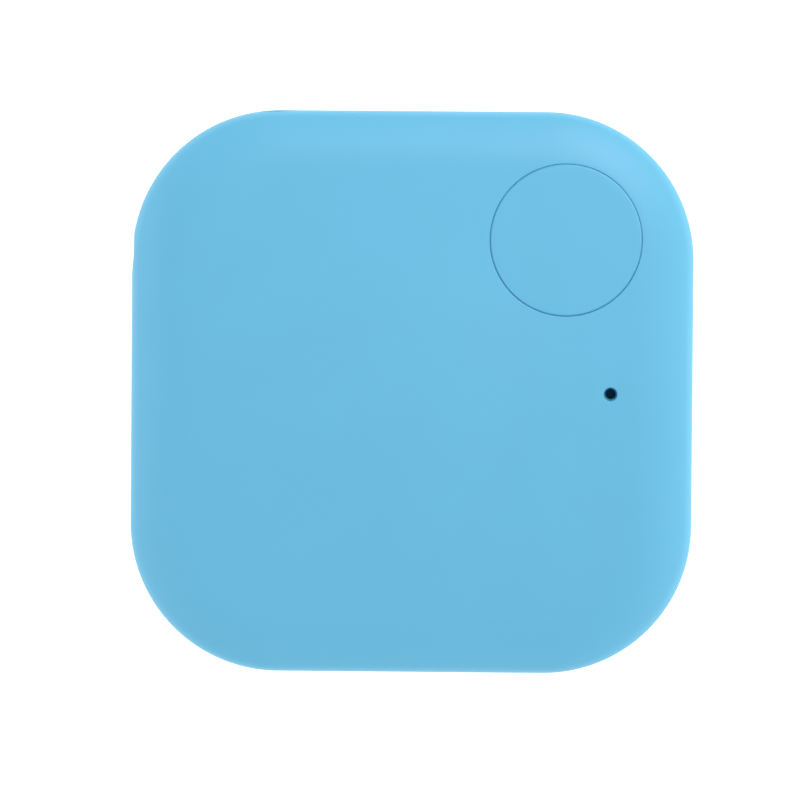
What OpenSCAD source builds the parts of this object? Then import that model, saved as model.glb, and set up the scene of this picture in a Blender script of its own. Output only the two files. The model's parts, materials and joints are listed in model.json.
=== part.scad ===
// Pocket wireless tracker tag: a rounded square case in two shells, a push
// button, a sounder, a radio board and a coin cell. Millimetres, +Z out of the
// front face, origin at the centre of the flat rear face.

/* [Case] */
// Side of the square case
body_w = 37; // [36.8:0.1:38]
// Thickness, rear face to front face
body_t = 6.6; // [6.6:0.05:7]
// Radius of the four corners, seen from the front
corner_r = 9.75; // [9:0.25:10]
// Thickness of the side walls
wall = 1.2; // [1.1:0.05:1.3]
// Thickness of the front shell's roof
roof_t = 0.9; // [0.8:0.05:0.95]
// Thickness of the rear shell's floor
floor_t = 0.9; // [0.8:0.05:0.9]
// Height of the seam between the two shells
seam_z = 2.4; // [2.3:0.05:2.5]

/* [Button] */
// Diameter of the round opening for the button
opening_d = 10.02; // [9.9:0.02:10.1]
// Gap between the button and the opening's edge, all round
button_gap = 0.08; // [0.06:0.01:0.12]
// Distance of the button's centre from each centre line
button_xy = 10.1; // [9.9:0.1:10.3]

/* [Sound hole] */
// Diameter of the sound hole
port_d = 0.9; // [0.8:0.05:1.1]
// Distance of the sound hole from the upright centre line
port_x = 13.1; // [12.9:0.1:13.3]

/* [Lanyard eye] */
// Diameter of the tunnel that a lanyard is threaded through
eye_d = 2.2; // [2:0.1:2.3]
// Distance of the tunnel's axis from the tip of the corner
eye_inset = 2.7; // [2.6:0.05:2.9]

/* [Coin cell] */
// Diameter of the coin cell
cell_d = 20; // [20]
// Thickness of the coin cell
cell_t = 3.2; // [3.2]
// Distance of the cell's centre from each centre line
cell_xy = -5.5; // [-5.6:0.1:-5.4]

/* [Board] */
// Thickness of the circuit board
board_t = 0.8; // [0.8]

/* [Hidden] */
$fn = 72;

half = body_w / 2;
corner_c = half - corner_r;     // centre of each corner's arc, along both axes
inner_r = corner_r - wall;      // the cavity's corner radius
roof_z = body_t - roof_t;       // inside of the roof
join = 0.01;                    // overlap that makes two blocks one solid
fit = 0.02;                     // gap between pieces that rest on each other

// Front shell: shoulder of two tangent arcs, a small one at the side and a big one at the face
shoulder_small = 1;
shoulder_big = 7;
shoulder_turn = 60;
shoulder_z = body_t - shoulder_big + (shoulder_big - shoulder_small) * sin(shoulder_turn);
inside_fillet = 1;
rear_edge_r = 1.4;
rear_fillet = 0.6;
seam_chamfer = 0.15;

// Tongue on the rear shell, and the rebate in the front shell that drops over it
tongue_t = 0.5;
tongue_h = 1;
tongue_gap = 0.1;
bead_w = 7;
bead_out = 0.08;
rebate_h = tongue_h + 0.12;

// Pry slot under the seam, in the middle of the lower side
pry_w = 7;
pry_h = 0.7;
pry_depth = 0.55;

// Lanyard tunnel across the top left corner
eye_z = 4.05;
eye_wall = 0.65;
eye_reach = (corner_c * sqrt(2) + corner_r) - eye_inset; // from the case's centre to the axis
eye_len = 2 * corner_r;

// Board, and the pins and pads that carry it
pad_h = 0.2;
board_z = floor_t + pad_h;
board_top = board_z + board_t;
board_edge = 1.7;               // board's edge inside the case's outside
pin_r = 0.6;
pin_head_r = 1;
pin_head_h = 0.35;
PINS = [[14, -10.2], [-13.6, 6.9]];
PADS = [[-13, -13], [-15, 0], [0, -15], [13, -13], [15.2, 6], [4, 15], [-8, 14.6]];
POSTS = [[15.9, 5], [11.9, -13.6], [-13, 4]];
post_r = 0.6;

// Button
opening_r = opening_d / 2;
opening_edge = 0.06;            // chamfer round the opening
cap_r = opening_r - button_gap;
cap_t = 0.85;
cap_edge = 0.06;                // chamfer round its face
cap_wall = 0.7;
flange_r = cap_r + 0.85;
flange_t = 0.46;
flange_top = roof_z - 0.04;
guide_r = flange_r + 0.2;
guide_wall = 0.8;
rim_r = guide_r + 0.55;         // membrane's outer radius
rim_in = guide_r - 0.3;         // where its flat rim starts
guide_z = roof_z - 0.75;
key_w = 1.2;
stem_r = 1;
shoulder_r = 1.6;
membrane_t = 0.3;
membrane_drop = 0.5;            // how far its middle lies under its rim
membrane_in = 2.4;
hub_z = guide_z - membrane_drop;

// Tactile switch
switch_w = 5.2;
switch_base_z = board_top + 0.05;
switch_base_h = 0.7;
switch_base_top = switch_base_z + switch_base_h;
switch_pocket_r = 2;
switch_floor = switch_base_z + 0.25;
plunger_top = board_top + 1.5;
plunger_r = 1.4;
dome_rise = 0.32;
dome_r = 1.9;
dome_t = 0.06;
cover_t = 0.15;
stem_z = plunger_top + 0.06;

// Magnetic sounder
buzzer_w = 8.5;
buzzer_at = [12.2, -1.2];
buzzer_h = 3;
buzzer_base_z = board_top + 0.05;
buzzer_base_h = 0.5;
buzzer_bed = buzzer_base_z + buzzer_base_h;
buzzer_top = board_top + buzzer_h;
buzzer_lid = 0.35;
buzzer_bore = 3.75;
ledge_z = buzzer_top - 0.9;     // where the diaphragm rests
buzzer_port_r = 0.75;
duct_r = 0.8;
duct_wall = 0.7;
duct_z = roof_z - 0.45;

// Coin cell and its contacts
cell_r = cell_d / 2;
cell_z = board_top + 0.35;
cell_top = cell_z + cell_t;
can_t = 0.25;
can_skirt_z = cell_z + 0.4;     // where the can's wall starts to turn in under the seal
can_edge = 0.2;
crimp_r = 9.2;
cap_outer = 9;
cell_cap_t = 0.22;
separator_z = cell_z + 1.24;
separator_t = 0.09;
holder_r = cell_r + 0.2;
holder_t = 0.8;
holder_h = 2.5;
holder_ledge = 9;
spring_t = 0.2;

// Parts on the board stand on this much solder. Lists are x, y, turn
solder = 0.03;
CAPACITORS = [
    [-5.4, 7.4, 0], [-3.4, 7.4, 0], [0.8, 8.2, 90], [0.8, 10.1, 90], [2.1, 11.4, 90],
    [-6.4, 13, 90], [-9.6, 8, 0], [-9.6, 11.2, 0], [6.4, -6.2, 90], [15, -6.4, 0]
];
RESISTORS = [[-1.4, 7.4, 0], [2.1, 8.6, 90], [5.4, 6.2, 0], [9, -14, 0], [7, -9.6, 90], [15.2, 9.6, 90]];
INDUCTORS = [[-2.4, 13.15, 90], [-4, 13.15, 90]];
BULK = [[10.2, -7, 0], [10.2, -9.4, 0]];
chip_xy = [-2.5, 10.3];
chip_w = 4;
crystal_xy = [-6.9, 10];
clock_xy = [3.8, 9.4];
led_xy = [13.6, 5.9];
transistor_xy = [9.4, -12];
diode_xy = [13.4, -7.8];

function on_circle(c, r, a) = [c[0] + r * cos(a), c[1] + r * sin(a)];

// Circular segment: what an arc adds beyond its chord
module arc_cap(c, r, a0, a1) {
    far = 1.6;
    intersection() {
        translate(c) circle(r, $fn = 48);
        polygon([
            on_circle(c, r, a0), on_circle(c, far * r, a0),
            on_circle(c, far * r, a1), on_circle(c, r, a1)
        ]);
    }
}

// Sweeps a flat section, drawn from the corner's axis outwards, round a rounded square
module round_frame(flat) {
    for (q = [0 : 3]) rotate(90 * q) translate([flat, flat, 0]) {
        rotate_extrude(angle = 90) children();
        rotate([90, 0, 0]) linear_extrude(2 * flat) children();
    }
}

module slab(flat, z0, z1) {
    translate([-flat, -flat, z0]) cube([2 * flat, 2 * flat, z1 - z0]);
}

// Strip of sheet metal on edge, through a list of points
module ribbon(points, t) {
    for (i = [0 : len(points) - 2]) {
        step = points[i + 1] - points[i];
        translate(points[i]) rotate(atan2(step[1], step[0]))
            translate([0, -t / 2]) square([norm(step), t]);
    }
    for (i = [1 : len(points) - 2]) translate(points[i]) circle(d = t, $fn = 24);
}

module tube(r_in, r_out, z0, z1) {
    translate([0, 0, z0]) difference() {
        cylinder(r = r_out, h = z1 - z0);
        translate([0, 0, -1]) cylinder(r = r_in, h = z1 - z0 + 2);
    }
}

module disc(r, z0, z1) { translate([0, 0, z0]) cylinder(r = r, h = z1 - z0); }

module block(size, z0, z1) {
    translate([-size[0] / 2, -size[1] / 2, z0]) cube([size[0], size[1], z1 - z0]);
}

// ---------- Case ----------

module front_outside() {
    small = [corner_r - shoulder_small, shoulder_z];
    big = [small[0] - (shoulder_big - shoulder_small) * cos(shoulder_turn), body_t - shoulder_big];
    polygon([
        [0, seam_z + fit], [corner_r - seam_chamfer, seam_z + fit], [corner_r, seam_z + fit + seam_chamfer],
        [corner_r, shoulder_z], on_circle(small, shoulder_small, shoulder_turn),
        [big[0], body_t], [0, body_t]
    ]);
    arc_cap(small, shoulder_small, 0, shoulder_turn);
    arc_cap(big, shoulder_big, shoulder_turn, 90);
}

module front_section() {
    fillet = [inner_r - inside_fillet, roof_z - inside_fillet];
    difference() {
        front_outside();
        union() {
            polygon([
                [-1, seam_z - 1], [inner_r, seam_z - 1], [inner_r, fillet[1]],
                [fillet[0], roof_z], [-1, roof_z]
            ]);
            arc_cap(fillet, inside_fillet, 0, 90);
        }
        translate([-1, seam_z - 1]) square([inner_r + tongue_t + tongue_gap + 1, rebate_h + 1]);
    }
}

module rear_section() {
    fillet = [inner_r - rear_fillet, floor_t + rear_fillet];
    difference() {
        union() {
            polygon([
                [0, 0], [corner_r - rear_edge_r, 0], [corner_r, rear_edge_r],
                [corner_r, seam_z - seam_chamfer], [corner_r - seam_chamfer, seam_z], [0, seam_z]
            ]);
            arc_cap([corner_r - rear_edge_r, rear_edge_r], rear_edge_r, -90, 0);
        }
        union() {
            polygon([
                [-1, floor_t], [fillet[0], floor_t], [inner_r, fillet[1]],
                [inner_r, seam_z + 1], [-1, seam_z + 1]
            ]);
            arc_cap(fillet, rear_fillet, -90, 0);
        }
    }
}

// Puts a cylinder along the lanyard tunnel
module along_eye(r, length) {
    translate([-eye_reach / sqrt(2), eye_reach / sqrt(2), eye_z])
        rotate([0, 90, 45]) cylinder(r = r, h = length, center = true);
}

module front_shell() {
    color("#6EBEE3") difference() {
        union() {
            round_frame(corner_c) front_section();
            slab(corner_c, roof_z, body_t);
            intersection() {
                along_eye(eye_d / 2 + eye_wall, eye_len);
                translate([-corner_c, corner_c, 0]) disc(corner_r - wall + 0.45, seam_z, roof_z + 0.3);
            }
            translate([button_xy, button_xy, 0]) difference() {
                tube(guide_r, guide_r + guide_wall, guide_z, roof_z + join);
                rotate(90) translate([-key_w / 2, guide_r - 1, guide_z - 1])
                    cube([key_w, 3, roof_z - guide_z + 1]);
            }
            translate([port_x, 0, 0]) tube(duct_r, duct_r + duct_wall, duct_z, roof_z + join);
            for (p = POSTS) translate(p) disc(post_r, board_top + 0.05, roof_z + join);
        }
        along_eye(eye_d / 2, eye_len + 4);
        translate([button_xy, button_xy, 0]) {
            disc(opening_r, roof_z - 1, body_t + 1);
            translate([0, 0, body_t - opening_edge])
                cylinder(r1 = opening_r, r2 = opening_r + 2 * opening_edge, h = 2 * opening_edge);
        }
        translate([port_x, 0, roof_z - 1]) cylinder(d = port_d, h = 3);
    }
}

module rear_shell() {
    tongue_cut = eye_reach - eye_d / 2 - eye_wall - 0.3;
    color("#63B4DC") {
        difference() {
            union() {
                round_frame(corner_c) rear_section();
                slab(corner_c, 0, floor_t);
                difference() {
                    round_frame(corner_c) translate([inner_r, seam_z - 0.2])
                        square([tongue_t, tongue_h + 0.2]);
                    rotate(45) translate([-half, tongue_cut, seam_z])
                        cube([body_w, half, tongue_h + 1]);
                }
            }
            translate([-pry_w / 2, -half - 1, seam_z - pry_h]) cube([pry_w, pry_depth + 1, pry_h + 1]);
        }
        for (q = [0 : 3]) rotate(90 * q)
            translate([corner_c + inner_r + tongue_t - join, -bead_w / 2, seam_z + 0.45])
                cube([bead_out + join, bead_w, 0.3]);
        for (p = PINS) translate(p) {
            disc(pin_r, floor_t - join, board_top + join);
            disc(pin_head_r, board_top + fit, board_top + pin_head_h);
            disc(pin_r, board_top, board_top + fit + join);
        }
        for (p = PADS) translate(p) disc(1.2, floor_t - join, board_z);
    }
}

// ---------- Button ----------

module button_cap() {
    color("#6EBEE3") translate([button_xy, button_xy, 0]) {
        difference() {
            union() {
                disc(cap_r, body_t - cap_t, body_t - cap_edge);
                translate([0, 0, body_t - cap_edge])
                    cylinder(r1 = cap_r, r2 = cap_r - cap_edge, h = cap_edge);
                disc(cap_r, flange_top - join, body_t - cap_t + join);
                disc(flange_r, flange_top - flange_t, flange_top);
                rotate(90) translate([-key_w / 2 + tongue_gap, 0, flange_top - flange_t])
                    cube([key_w - 2 * tongue_gap, guide_r + 0.5, flange_t]);
            }
            disc(cap_r - cap_wall, roof_z - 1, body_t - cap_t);
        }
        for (a = [0 : 45 : 135]) rotate(a)
            block([2 * (cap_r - cap_wall + 0.2), 0.5], flange_top - flange_t + 0.1, body_t - cap_t + join);
        disc(shoulder_r, hub_z, body_t - cap_t + join);
        disc(stem_r, stem_z, hub_z + join);
    }
}

module button_membrane() {
    low = hub_z - fit - membrane_t;
    rim_low = guide_z - fit - membrane_t;
    color("#D8DCDC") translate([button_xy, button_xy, 0]) rotate_extrude() polygon([
        [stem_r + fit, low], [membrane_in, low], [rim_in, rim_low],
        [rim_r, rim_low], [rim_r, rim_low + membrane_t],
        [rim_in, rim_low + membrane_t], [membrane_in, low + membrane_t],
        [stem_r + fit, low + membrane_t]
    ]);
}

module cell_pad() {
    color("#2A2C2E") translate([cell_xy, cell_xy, 0]) disc(6, cell_top + fit, roof_z);
}

module sound_gasket() {
    color("#2A2C2E") translate([port_x, 0, 0])
        tube(duct_r + 0.05, duct_r + duct_wall + 0.2, buzzer_top + fit, duct_z - fit);
}

// ---------- Board and its parts ----------

module circuit_board() {
    r = corner_r - board_edge;
    color("#1F6B45") difference() {
        union() {
            for (q = [0 : 3]) rotate(90 * q) translate([corner_c, corner_c, board_z]) {
                cylinder(r = r, h = board_t);
                translate([0, -2 * corner_c, 0]) cube([r, 2 * corner_c, board_t]);
            }
            slab(corner_c, board_z, board_top);
        }
        for (p = PINS) translate(p) disc(pin_r + 0.05, 0, body_t);
        holder_pegs(0.5, 0, body_t);
    }
}

// Printed inverted-F aerial along the top edge: one bent strip of copper with its feed and ground legs
module antenna_trace() {
    t = 0.5;
    turns = 4;
    pitch = 2;
    low = 14.2;
    high = 16.2;
    meander = [for (i = [0 : turns - 1]) each [
        [-i * pitch, high], [-(i + 0.5) * pitch, high], [-(i + 0.5) * pitch, low], [-(i + 1) * pitch, low]
    ]];
    color("#B87333") translate([0, 0, board_top]) linear_extrude(0.05) {
        ribbon(concat([[4, 12.6], [4, high]], meander), t);
        ribbon([[2, 12.6], [2, high]], t);
    }
}

// A chip part's body, standing on its solder
module chip_body(size, h) { block(size, board_top + solder, board_top + h); }

module radio_chip() {
    color("#25272A") translate([chip_xy[0], chip_xy[1], 0]) difference() {
        block([chip_w, chip_w], board_top + solder, board_top + 0.85);
        translate([-chip_w / 2 + 0.6, chip_w / 2 - 0.6, 0]) disc(0.22, board_top + 0.8, board_top + 1);
    }
}

module crystal(size, h) {
    chip_body(size, 0.35);
    block([size[0] - 0.3, size[1] - 0.3], board_top + 0.3, board_top + h);
}

module main_crystal() { color("silver") translate(crystal_xy) rotate(90) crystal([3.2, 2.5], 0.7); }

module clock_crystal() { color("silver") translate(clock_xy) rotate(90) crystal([3.2, 1.5], 0.75); }

module at_each(places) {
    for (p = places) translate([p[0], p[1], 0]) rotate(p[2]) children();
}

module capacitors() { color("#B08A5A") at_each(CAPACITORS) chip_body([1, 0.5], 0.53); }

module bulk_capacitors() { color("#A57C4C") at_each(BULK) chip_body([3.2, 1.6], 1.5); }

module resistors() { color("#202124") at_each(RESISTORS) chip_body([1, 0.5], 0.38); }

module inductors() { color("#8C9AA3") at_each(INDUCTORS) chip_body([1, 0.5], 0.55); }

module status_led() {
    color("ivory") translate([led_xy[0], led_xy[1], 0]) {
        chip_body([1.6, 0.8], 0.25);
        block([0.9, 0.8], board_top + 0.2, board_top + 0.6);
    }
}

module driver_transistor() {
    leg = [0.4, 0.7];
    color("#25272A") translate([transistor_xy[0], transistor_xy[1], 0]) {
        block([2.9, 1.3], board_top + 0.1, board_top + 1);
        for (p = [[-0.95, -0.9], [0.95, -0.9], [0, 0.9]]) translate(p) chip_body(leg, 0.2);
    }
}

module driver_diode() {
    color("#25272A") translate([diode_xy[0], diode_xy[1], 0]) rotate(90) {
        block([1.7, 1.25], board_top + 0.1, board_top + 0.9);
        chip_body([2.5, 0.3], 0.2);
    }
}

// ---------- Tactile switch under the button ----------

module at_switch() { translate([button_xy, button_xy, 0]) children(); }

module switch_base() {
    color("#1D1E20") at_switch() difference() {
        block([switch_w, switch_w], switch_base_z, switch_base_top);
        disc(switch_pocket_r, switch_floor, body_t);
    }
}

module switch_terminals() {
    foot = [0.8, 0.7];
    t = 0.15;
    color("silver") at_switch() for (x = [-1, 1], y = [-1, 1])
        translate([x * (switch_w / 2 + fit + foot[0] / 2), y * 1.85, 0]) {
            block(foot, board_top + fit, board_top + fit + t);
            translate([-x * (foot[0] - t) / 2, 0, 0]) block([t, foot[1]], board_top + fit, board_top + 0.5);
        }
}

module switch_dome() {
    bow = (dome_r * dome_r + dome_rise * dome_rise) / (2 * dome_rise); // radius that gives that rise
    color("silver") at_switch() translate([0, 0, switch_floor + fit + dome_rise - bow]) rotate_extrude()
        intersection() {
            difference() {
                circle(bow);
                circle(bow - dome_t);
            }
            translate([0, bow - dome_rise]) square([dome_r, dome_rise + 1]);
        }
}

module switch_plunger() {
    flange_z = switch_floor + fit + dome_rise + fit;
    color("#6B4A33") at_switch() {
        disc(switch_pocket_r - 0.1, flange_z, flange_z + 0.1);
        disc(plunger_r, flange_z + 0.1 - join, plunger_top);
    }
}

module switch_cover() {
    z0 = switch_base_top + fit;
    color("silver") at_switch() {
        difference() {
            block([switch_w, switch_w], z0, z0 + cover_t);
            disc(plunger_r + 0.08, 0, body_t);
        }
        for (y = [-1, 1]) translate([0, y * (switch_w / 2 + 0.08), 0])
            block([2.2, 0.12], board_top + 0.3, z0 + cover_t);
        for (y = [-1, 1]) translate([0, y * (switch_w / 2 + 0.05), 0])
            block([2.2, 0.18], z0, z0 + cover_t);
    }
}

// ---------- Magnetic sounder under the sound hole ----------

module at_buzzer() { translate([buzzer_at[0], buzzer_at[1], 0]) children(); }

module buzzer_base() {
    color("#1D1E20") at_buzzer() {
        block([buzzer_w, buzzer_w], buzzer_base_z, buzzer_bed);
        tube(buzzer_bore - 0.35, buzzer_bore - 0.02, buzzer_bed - join, ledge_z);
    }
}

module buzzer_terminals() {
    color("silver") at_buzzer() for (x = [-1, 1], y = [-1, 1])
        translate([x * (buzzer_w / 2 + 0.08), y * 2.6, 0]) {
            block([0.14, 1.3], board_top + fit, buzzer_bed - 0.15);
        }
}

module buzzer_yoke() {
    color("#9A9C9E") at_buzzer() {
        disc(3.3, buzzer_bed + fit, buzzer_bed + 0.32);
        disc(0.9, buzzer_bed + 0.3, ledge_z - 0.25);
    }
}

module buzzer_magnet() { color("#4A4B4E") at_buzzer() tube(2.3, 3.3, buzzer_bed + 0.34, ledge_z - 0.3); }

module buzzer_coil() { color("#B5651D") at_buzzer() tube(0.93, 2, buzzer_bed + 0.34, ledge_z - 0.4); }

module buzzer_diaphragm() {
    color("#B9BBBD") at_buzzer() {
        disc(buzzer_bore - 0.1, ledge_z + fit, ledge_z + 0.09);
        disc(1.2, ledge_z + 0.08, ledge_z + 0.32);
    }
}

module buzzer_cover() {
    color("#1D1E20") at_buzzer() difference() {
        block([buzzer_w, buzzer_w], buzzer_bed + fit, buzzer_top);
        disc(buzzer_bore, 0, buzzer_top - buzzer_lid);
        translate([port_x - buzzer_at[0], -buzzer_at[1], 0]) disc(buzzer_port_r, 0, body_t);
    }
}

// ---------- Coin cell, holder and contacts ----------

module at_cell() { translate([cell_xy, cell_xy, 0]) children(); }

// The holder's two pegs, or the board's holes for them
module holder_pegs(r, z0, z1) {
    at_cell() for (a = [135, 315]) rotate(a) translate([holder_r + holder_t / 2, 0, 0]) disc(r, z0, z1);
}

module holder_arc(from, to) {
    at_cell() rotate(from) rotate_extrude(angle = to - from)
        translate([holder_r, board_top + fit]) square([holder_t, holder_h]);
}

module cell_holder() {
    color("#1D1E20") {
        holder_arc(80, 205);
        holder_arc(245, 370);
        at_cell() tube(holder_ledge, holder_r + 0.1, board_top + fit, board_top + fit + 0.25);
        holder_pegs(0.45, board_z, board_top + fit + join);
    }
}

module positive_contact() {
    back = cell_r + 1.4;
    bump = cell_r + spring_t / 2 + fit;
    side = 3.9;
    v = sqrt(bump * bump - side * side);
    bend = [[-5, v + 0.15], [-side, v], [-1.6, back], [1.6, back], [side, v], [5, v + 0.15]];
    color("silver") at_cell() rotate(-45) {
        translate([0, 0, board_top + 0.3]) linear_extrude(2.3) ribbon(bend, spring_t);
        translate([-1.5, back - spring_t / 2, board_top + fit]) cube([3, spring_t, 0.5]);
        translate([-1.5, back - spring_t / 2, board_top + fit]) cube([3, 2, spring_t]);
    }
}

module negative_contact() {
    reach = 6;
    tip = cell_z - board_top - 2 * fit - spring_t / 4;
    finger = [[0.8, 0], [2.4, 0], [reach - 1, tip - spring_t / 4], [reach, tip - 0.15]];
    color("silver") at_cell() {
        disc(1.6, board_top + fit, board_top + fit + spring_t / 2);
        for (a = [0, 120, 240]) rotate(a) translate([0, 1, board_top + fit]) rotate([90, 0, 0])
            linear_extrude(2) translate([0, spring_t / 4])
                ribbon(finger, spring_t / 2);
    }
}

module cell_can() {
    color("silver") at_cell() difference() {
        union() {
            disc(cell_r, can_skirt_z, cell_top - can_edge);
            translate([0, 0, cell_top - can_edge])
                cylinder(r1 = cell_r, r2 = cell_r - can_edge, h = can_edge);
            translate([0, 0, can_skirt_z - can_edge])
                cylinder(r1 = cell_r - can_edge, r2 = cell_r, h = can_edge);
        }
        disc(cell_r - can_t, can_skirt_z, cell_top - can_t);
        disc(crimp_r, 0, can_skirt_z + join);
    }
}

module cell_gasket() {
    color("#2E3236") at_cell() {
        tube(cap_outer + fit, cell_r - can_t - fit, can_skirt_z + fit, cell_top - can_t - 0.3);
        tube(cap_outer + fit, crimp_r - fit, cell_z + 0.12, can_skirt_z + fit + join);
    }
}

module cell_cap() {
    color("#C9CBCD") at_cell() {
        difference() {
            disc(cap_outer, cell_z, cell_top - can_t - 0.35);
            disc(cap_outer - cell_cap_t, cell_z + cell_cap_t, body_t);
        }
    }
}

module cell_cathode() {
    color("#3A3A3C") at_cell() disc(8.4, separator_z + separator_t + fit, cell_top - can_t - fit);
}

module cell_separator() { color("white") at_cell() disc(8.6, separator_z, separator_z + separator_t); }

module cell_anode() { color("#8E9194") at_cell() disc(8.3, cell_z + cell_cap_t + fit, separator_z - fit); }

front_shell();
rear_shell();
button_cap();
button_membrane();
cell_pad();
sound_gasket();
circuit_board();
antenna_trace();
radio_chip();
main_crystal();
clock_crystal();
capacitors();
bulk_capacitors();
resistors();
inductors();
status_led();
driver_transistor();
driver_diode();
switch_base();
switch_terminals();
switch_dome();
switch_plunger();
switch_cover();
buzzer_base();
buzzer_terminals();
buzzer_yoke();
buzzer_magnet();
buzzer_coil();
buzzer_diaphragm();
buzzer_cover();
cell_holder();
positive_contact();
negative_contact();
cell_can();
cell_gasket();
cell_cap();
cell_cathode();
cell_separator();
cell_anode();
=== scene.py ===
import json
import math

import bmesh
import bpy
from mathutils import Matrix, Vector
from mathutils.geometry import delaunay_2d_cdt
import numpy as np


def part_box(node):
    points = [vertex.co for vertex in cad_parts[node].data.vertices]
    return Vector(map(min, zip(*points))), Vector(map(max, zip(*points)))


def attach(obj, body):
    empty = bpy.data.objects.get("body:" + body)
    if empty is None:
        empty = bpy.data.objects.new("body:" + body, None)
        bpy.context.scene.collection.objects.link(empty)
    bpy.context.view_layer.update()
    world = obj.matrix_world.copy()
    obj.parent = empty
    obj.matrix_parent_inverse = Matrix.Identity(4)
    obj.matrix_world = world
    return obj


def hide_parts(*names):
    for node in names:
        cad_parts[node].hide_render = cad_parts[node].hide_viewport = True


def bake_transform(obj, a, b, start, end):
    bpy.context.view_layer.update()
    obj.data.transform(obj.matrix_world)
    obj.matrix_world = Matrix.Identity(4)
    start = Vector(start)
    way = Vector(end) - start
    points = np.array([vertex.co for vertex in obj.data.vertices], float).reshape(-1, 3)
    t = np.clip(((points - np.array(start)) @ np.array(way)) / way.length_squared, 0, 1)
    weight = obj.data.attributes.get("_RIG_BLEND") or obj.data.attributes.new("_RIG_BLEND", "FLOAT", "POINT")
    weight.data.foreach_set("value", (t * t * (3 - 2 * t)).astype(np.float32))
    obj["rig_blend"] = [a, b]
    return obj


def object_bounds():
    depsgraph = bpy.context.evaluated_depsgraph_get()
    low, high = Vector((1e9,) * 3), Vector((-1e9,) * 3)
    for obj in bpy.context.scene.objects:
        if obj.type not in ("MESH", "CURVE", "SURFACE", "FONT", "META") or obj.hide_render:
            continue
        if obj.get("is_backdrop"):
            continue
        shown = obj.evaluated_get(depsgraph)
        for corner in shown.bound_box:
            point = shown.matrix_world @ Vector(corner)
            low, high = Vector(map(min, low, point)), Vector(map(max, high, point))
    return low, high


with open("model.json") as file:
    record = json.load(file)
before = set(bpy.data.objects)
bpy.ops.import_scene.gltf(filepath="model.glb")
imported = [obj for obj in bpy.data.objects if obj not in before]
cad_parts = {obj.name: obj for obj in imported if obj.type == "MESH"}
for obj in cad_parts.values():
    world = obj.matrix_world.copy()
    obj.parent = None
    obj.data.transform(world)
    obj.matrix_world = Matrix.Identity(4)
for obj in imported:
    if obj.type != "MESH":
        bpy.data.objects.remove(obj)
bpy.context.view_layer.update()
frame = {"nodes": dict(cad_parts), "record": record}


# ---- Front shell ----
# The half of the case that shows: injection-moulded ABS, 0.9 to 1.2 mm thick, with a crowned shoulder
# all round, an opening for the button, a sound hole and a lanyard tunnel across one corner. It carries
# the button's guide ring, the sound duct and the posts that press the board down.
MM = 0.001


def in_mm(corners):
    return [corner / MM for corner in corners]


front_low, front_high = in_mm(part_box("front_shell"))
case_half = front_high.x
face_z = front_high.z
roof_z = face_z - 0.9
corner_r = 9.75
corner_c = case_half - corner_r
wall = 1.2
inner_r = corner_r - wall
inner_fillet = 1.0
seam_edge = 0.15
seam_z, seam_gap = 2.4, 0.02
wall_low = seam_z + seam_gap
corner_arc = corner_r * math.pi / 2
quarter = corner_arc + 2 * corner_c

shoulder_small = 1.0
shoulder_big = 7.0
shoulder_turn = math.radians(60)
shoulder_z = face_z - shoulder_big + (shoulder_big - shoulder_small) * math.sin(shoulder_turn)
small_r = corner_r - shoulder_small
big_r = small_r - (shoulder_big - shoulder_small) * math.cos(shoulder_turn)
big_z = face_z - shoulder_big
turn_r = small_r + shoulder_small * math.cos(shoulder_turn)


def linear(hex_code):
    """A hex colour, sRGB, as the linear RGBA that a shader takes."""
    values = [int(hex_code[i:i + 2], 16) / 255 for i in (1, 3, 5)]
    return [v / 12.92 if v <= 0.04045 else ((v + 0.055) / 1.055) ** 2.4 for v in values] + [1.0]


def add_node(tree, kind, inputs=None, stops=(), **settings):
    """Adds a node. Inputs are values, or sockets to link from; stops are a ramp's (place, colour) pairs."""
    node = tree.nodes.new(kind)
    for name, value in settings.items():
        setattr(node, name, value)
    for i, (position, colour) in enumerate(stops):
        elements = node.color_ramp.elements
        element = elements[i] if i < len(elements) else elements.new(position)
        element.position = position
        element.color = colour
    for name, value in (inputs or {}).items():
        if isinstance(value, bpy.types.NodeSocket):
            tree.links.new(value, node.inputs[name])
        else:
            node.inputs[name].default_value = value
    return node


def new_material(name, **shader_inputs):
    """A material with one Principled shader. Underscores in an input's name stand for spaces."""
    material = bpy.data.materials.new(name)
    material.use_nodes = True
    tree = material.node_tree
    tree.nodes.clear()
    values = {key.replace("_", " "): value for key, value in shader_inputs.items()}
    shader = add_node(tree, "ShaderNodeBsdfPrincipled", values)
    add_node(tree, "ShaderNodeOutputMaterial", {"Surface": shader.outputs[0]})
    return material, tree, shader


def on_case(distance, radius):
    """The point at a distance round the case and a radius out from the corners' axes."""
    q = int(distance // quarter) % 4
    along = distance - quarter * (distance // quarter)
    turn = q * math.pi / 2
    centre = Vector((corner_c, corner_c))
    if along <= corner_arc:
        angle = along / corner_r
    else:
        angle = math.pi / 2
        centre.x -= along - corner_arc
    flat = centre + radius * Vector((math.cos(angle), math.sin(angle)))
    flat.rotate(Matrix.Rotation(turn, 2))
    return flat


def round_case(point):
    """A point's distance round the case and its radius out from the corners' axes."""
    for q in range(4):
        p = Vector((point.x, point.y))
        p.rotate(Matrix.Rotation(-q * math.pi / 2, 2))
        out = p - Vector((corner_c, corner_c))
        if out.y > 0 and out.x > 0:
            return q * quarter + corner_r * math.atan2(out.y, out.x), out.length
        if out.y > 0 and p.x > -corner_c:
            return q * quarter + corner_arc - out.x, out.y
    return 0.0, max(abs(point.x), abs(point.y)) - corner_c


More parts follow.
